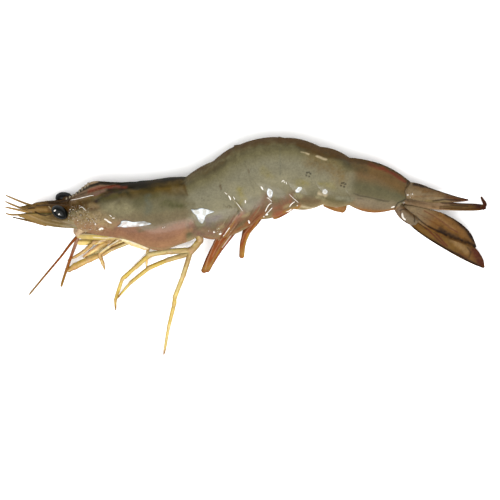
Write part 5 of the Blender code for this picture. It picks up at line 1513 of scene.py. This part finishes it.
def make_film(name, outline, surface, water):
    """A nearly level film of water with a soft rim, lying on the shell."""
    columns, rows = FILM_GRID
    centre = sum((Vector(point) for point in outline), Vector((0.0, 0.0))) / len(outline)
    closed = [(x, y, 0.0) for x, y in outline + outline[:1]]
    rim = [Vector(row[:2]) for row in smooth_rows(closed, columns, 0.8)]
    level = FILM_SAG * max(shell_under(surface, *edge)[0].z for edge in rim)
    level += (1 - FILM_SAG) * shell_under(surface, *centre)[0].z + FILM_DEPTH

    def place(u, v):
        edge = rim[round(u * columns)]
        wave = 1 - FILM_WAVE * (1 + noise.noise(Vector((edge.x, edge.y, 3.0)) * 1.4)) * (v == 0)
        point = centre + (edge - centre) * (wave * (1 - v))
        ground = shell_under(surface, *point)[0]
        share = min(1.0, v / FILM_RIM)
        rise = max(FILM_DEPTH, level - ground.z) / math.cos(VIEW_TILT)
        return ground + VIEW_AXIS * (rise * math.sqrt(share * (2 - share)) - 0.05)

    bm = formed_grid(columns, rows, place)
    bmesh.ops.remove_doubles(bm, verts=bm.verts, dist=MERGE)
    face_up(bm)
    clear = FILM_CLEAR if len(outline) < SMALL_FILM else 0.0
    # The film is painted pale over the shell's tint: a painted highlight, fainter in the middle of small
    # films.
    finish_piece(name, bm, water, water_colour(surface, "painted_water_highlight", 0.25, 1.0, clear))


def face_up(bm):
    """Turn a sheet's faces upwards."""
    bmesh.ops.recalc_face_normals(bm, faces=bm.faces)
    if sum(face.normal.z * face.calc_area() for face in bm.faces) < 0:
        bmesh.ops.reverse_faces(bm, faces=bm.faces)
    bm.normal_update()


def make_bead(number, line, radius, surface, water):
    """A narrow bead of water that follows a line on the shell."""
    columns, rows = BEAD_GRID
    path = smooth_rows([(x, y, 0.0) for x, y in line], rows)
    found = [shell_under(surface, x, y) for x, y, _ in path]
    frames = limb_frames([(*spot[0], radius) for spot in found if spot], rows)

    def place(u, v):
        centre, level, upward, _ = frames[round(v * rows)]
        ends = math.sqrt(max(0.0025, 1 - (2 * v - 1) ** 4))
        turn = 2 * math.pi * u
        up = upward if upward.z > 0 else -upward
        return centre + (level * math.cos(turn) + up * 0.6 * math.sin(turn)) * (radius * ends)

    bm = formed_grid(columns, rows, place)
    close_tube(bm)
    # The bead is painted with glint and brightened: a painted highlight.
    colour = water_colour(surface, "glint", 0.6, 1.0, glow=BEAD_GLOW)
    finish_piece(f"bead_{number}", bm, water, colour)


def make_dew(name, patch, surface, water):
    """Fine drops of water scattered over a patch of the shell."""
    (left, top), (right, bottom), count = patch
    pick = random.Random(name)
    bm = bmesh.new()
    for _ in range(count):
        x, y = pick.uniform(left, right), pick.uniform(bottom, top)
        radius = pick.uniform(*DEW_RADII) * MM
        found = shell_under(surface, x, y)
        if found is None:
            continue
        columns, rows = DROP_GRID
        drop = bmesh.ops.create_uvsphere(bm, u_segments=columns, v_segments=rows, radius=radius)
        bmesh.ops.scale(bm, verts=drop["verts"], vec=(1.0, 1.0, 0.7))
        bmesh.ops.translate(bm, verts=drop["verts"], vec=found[0] * MM)
    # The drops are painted with glint over the shell's tint: painted highlights.
    finish_piece(name, bm, water, water_colour(surface, "glint", 0.1, 0.8))


# ---------------------------------------------------------------------------- stage


def make_floor():
    """A plain pale floor."""
    bm = bmesh.new()
    bmesh.ops.create_grid(bm, x_segments=1, y_segments=1, size=3.0)
    mesh = bpy.data.meshes.new("floor")
    bm.to_mesh(mesh)
    bm.free()
    material = bpy.data.materials.new("floor")
    material.use_nodes = True
    shader = material.node_tree.nodes["Principled BSDF"]
    shader.inputs["Base Color"].default_value = (0.95, 0.95, 0.95, 1.0)
    shader.inputs["Roughness"].default_value = 0.9
    shader.inputs["Specular IOR Level"].default_value = 0.1
    mesh.materials.append(material)
    floor = bpy.data.objects.new("floor", mesh)
    bpy.context.scene.collection.objects.link(floor)
    floor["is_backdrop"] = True


def make_lamp(name, direction, distance, size, power):
    """A soft panel of light that faces the shrimp."""
    light = bpy.data.lights.new(name, "AREA")
    light.shape = "RECTANGLE"
    light.size = size[0] * MM
    light.size_y = size[1] * MM
    light.energy = power
    lamp = bpy.data.objects.new(name, light)
    lamp.location = direction * distance * MM
    lamp.rotation_euler = direction.to_track_quat("Z", "Y").to_euler()
    bpy.context.scene.collection.objects.link(lamp)


def make_light():
    """A soft key light from the belly's side, a wide panel overhead and an even sky."""
    make_lamp("key", Vector(KEY_DIRECTION).normalized(), KEY_DISTANCE, KEY_SIZE, KEY_POWER)
    make_lamp("panel", Vector((0.0, 0.0, 1.0)), PANEL_HEIGHT, (PANEL_SIZE, PANEL_SIZE), PANEL_POWER)
    world = bpy.data.worlds.new("sky")
    world.use_nodes = True
    world.node_tree.nodes["Background"].inputs["Color"].default_value = (1.0, 1.0, 1.0, 1.0)
    world.node_tree.nodes["Background"].inputs["Strength"].default_value = SKY_STRENGTH
    bpy.context.scene.world = world
    bpy.context.scene.view_settings.view_transform = "Standard"


def make_camera():
    """A long lens from above, tilted towards the back."""
    camera = bpy.data.cameras.new("camera")
    camera.sensor_width = SENSOR_WIDTH
    camera.lens = SENSOR_WIDTH * VIEW_DISTANCE / VIEW_WIDTH
    camera.clip_start = 0.05
    camera.clip_end = 20.0
    item = bpy.data.objects.new("camera", camera)
    item.location = (Vector(VIEW_TARGET) + VIEW_AXIS * VIEW_DISTANCE) * MM
    item.rotation_euler = (-VIEW_TILT, 0.0, 0.0)
    bpy.context.scene.collection.objects.link(item)
    bpy.context.scene.camera = item


def make_feelers(face, feeler):
    """The antennal scales, the antennules with their flagella, and the antennae."""
    make_blade("scale_left", SCALE_BLADE, SCALE_TILT, face, scale_colour)
    make_blade("scale_right", mirrored(SCALE_BLADE, SCALE_DROP), -SCALE_TILT, face,
               scale_colour)
    make_limb("scale_spine_left", SCALE_SPINE, feeler,
              ((0, "feeler_tan"), (1, "feeler_brown")), "scale_edge", jointed=False)
    for name, stations in ANTENNULES.items():
        make_limb(name, stations, face, ANTENNULE_PAINTS, "feeler_brown", jointed=False,
                  sides=36, rows=120, slack=1.0, marks=FACE_MARKS)
    for name, stations in FLAGELLA.items():
        make_limb(name, stations, feeler, ((0, "feeler_tan"), (1, "feeler_tan")),
                  "feeler_brown", jointed=False, rings=26, sides=14, rows=180, slack=1.0,
                  edging=0.4, glow=FLAGELLUM_GLOW)
    for name, stations in ANTENNA_FEET.items():
        make_limb(name, stations, face, FOOT_PAINTS, "leg_pink", sides=24, glow=LEG_GLOW)
    for name, edge, rings in (("antenna_left", "feeler_brown", 70), ("antenna_right", "feeler_red", 50)):
        make_limb(name, ANTENNAE[name], feeler, ANTENNA_PAINTS[name], edge, jointed=False,
                  rings=rings, sides=14, rows=6 * rings, slack=1.0, girth=ANTENNA_GIRTH)


def make_legs(leg, swimmer):
    """The mouth limbs, the walking legs and the swimming limbs."""
    for name, stations in MOUTH_LIMBS.items():
        make_limb(name, stations, leg, MOUTH_PAINTS, "leg_gold", jointed=False,
                  glow=MOUTH_GLOW * side_glow(name), edging=0.5, marks=LEG_MARKS)
    # The leg roots are painted pale all over and brightened: painted light that lifts the shade under the
    # carapace.
    make_limb("leg_roots_left", LEG_ROOTS, leg, ((0, "straw_pale"), (1, "straw_pale")),
              "leg_core", glow=ROOT_GLOW, marks=LEG_MARKS)
    for name, stations in LEGS.items():
        # core is the paler paint down each leg's middle: partly painted highlight.
        calf, core = ("straw", "leg_core") if name[4] in REAR_LEGS else ("leg_tan", "straw_pale")
        stops = ((0, "leg_shade"), (0.3, "leg_shade"), (0.55, calf), (0.93, calf), (0.97, "leg_tip"),
                 (1, "leg_tip"))
        make_limb(name, stations, leg, stops, "leg_gold", rows=150,
                  glow=LEG_GLOW * side_glow(name), girth=LEG_GIRTH, core=core, marks=LEG_MARKS)
    for name, stations in SWIM_LIMBS.items():
        stops, edge = SWIM_PAINTS, "swim_dark"
        if name.startswith("swim_5"):
            stops, edge = ((0, "flap"), (1, "flap")), "swim_orange"
        make_limb(name, stations, swimmer, stops, edge, flat=0.7, jointed=False,
                  sides=36, rows=110, slack=1.0, glow=SWIM_GLOW, edging=0.5, marks=SWIM_MARKS)


def make_fan(fan):
    """The telson and the blades and feet of the tail fan."""
    for name, stations in FAN_BLADES.items():
        rib = TELSON_RIB if name == "telson" else BLADE_RIB
        make_blade(name, stations, FAN_TILTS[name], fan, fan_colour(name), rib)
    for name, stations in FAN_LIMBS.items():
        root, end = ("hem", "hem") if "hem" in name else ("rose_grey", "sixth_low")
        make_limb(name, stations, fan, ((0, root), (1, end)), "fan_brown", jointed=False,
                  sides=36, slack=1.0, marks=FAN_FOOT_MARKS)


def make_wet(water):
    """The films, beads and dew of water on the finished shell."""
    surface = skin_surface()
    for name, outline in WATER_FILMS.items():
        make_film(name, outline, surface, water)
    for number, (radius, *line) in enumerate(WATER_BEADS, start=1):
        make_bead(number, line, radius, surface, water)
    for name, patch in DEW_PATCHES.items():
        make_dew(name, patch, surface, water)


def main():
    make_camera()
    make_light()
    make_floor()
    mottle = make_mottle_group()
    shell, face, leg, feeler, swimmer, fan, gloss = (make_skin(name, mottle) for name in SKINS)
    water = make_water()

    make_carapace(shell)
    for number in range(TAIL_PLATES):
        make_plate(number, shell)
    make_flesh(shell)
    make_rostrum(face)
    for side in EYES:
        make_eye(side, gloss, face)
    make_feelers(face, feeler)
    make_legs(leg, swimmer)
    make_fan(fan)
    make_wet(water)


main()
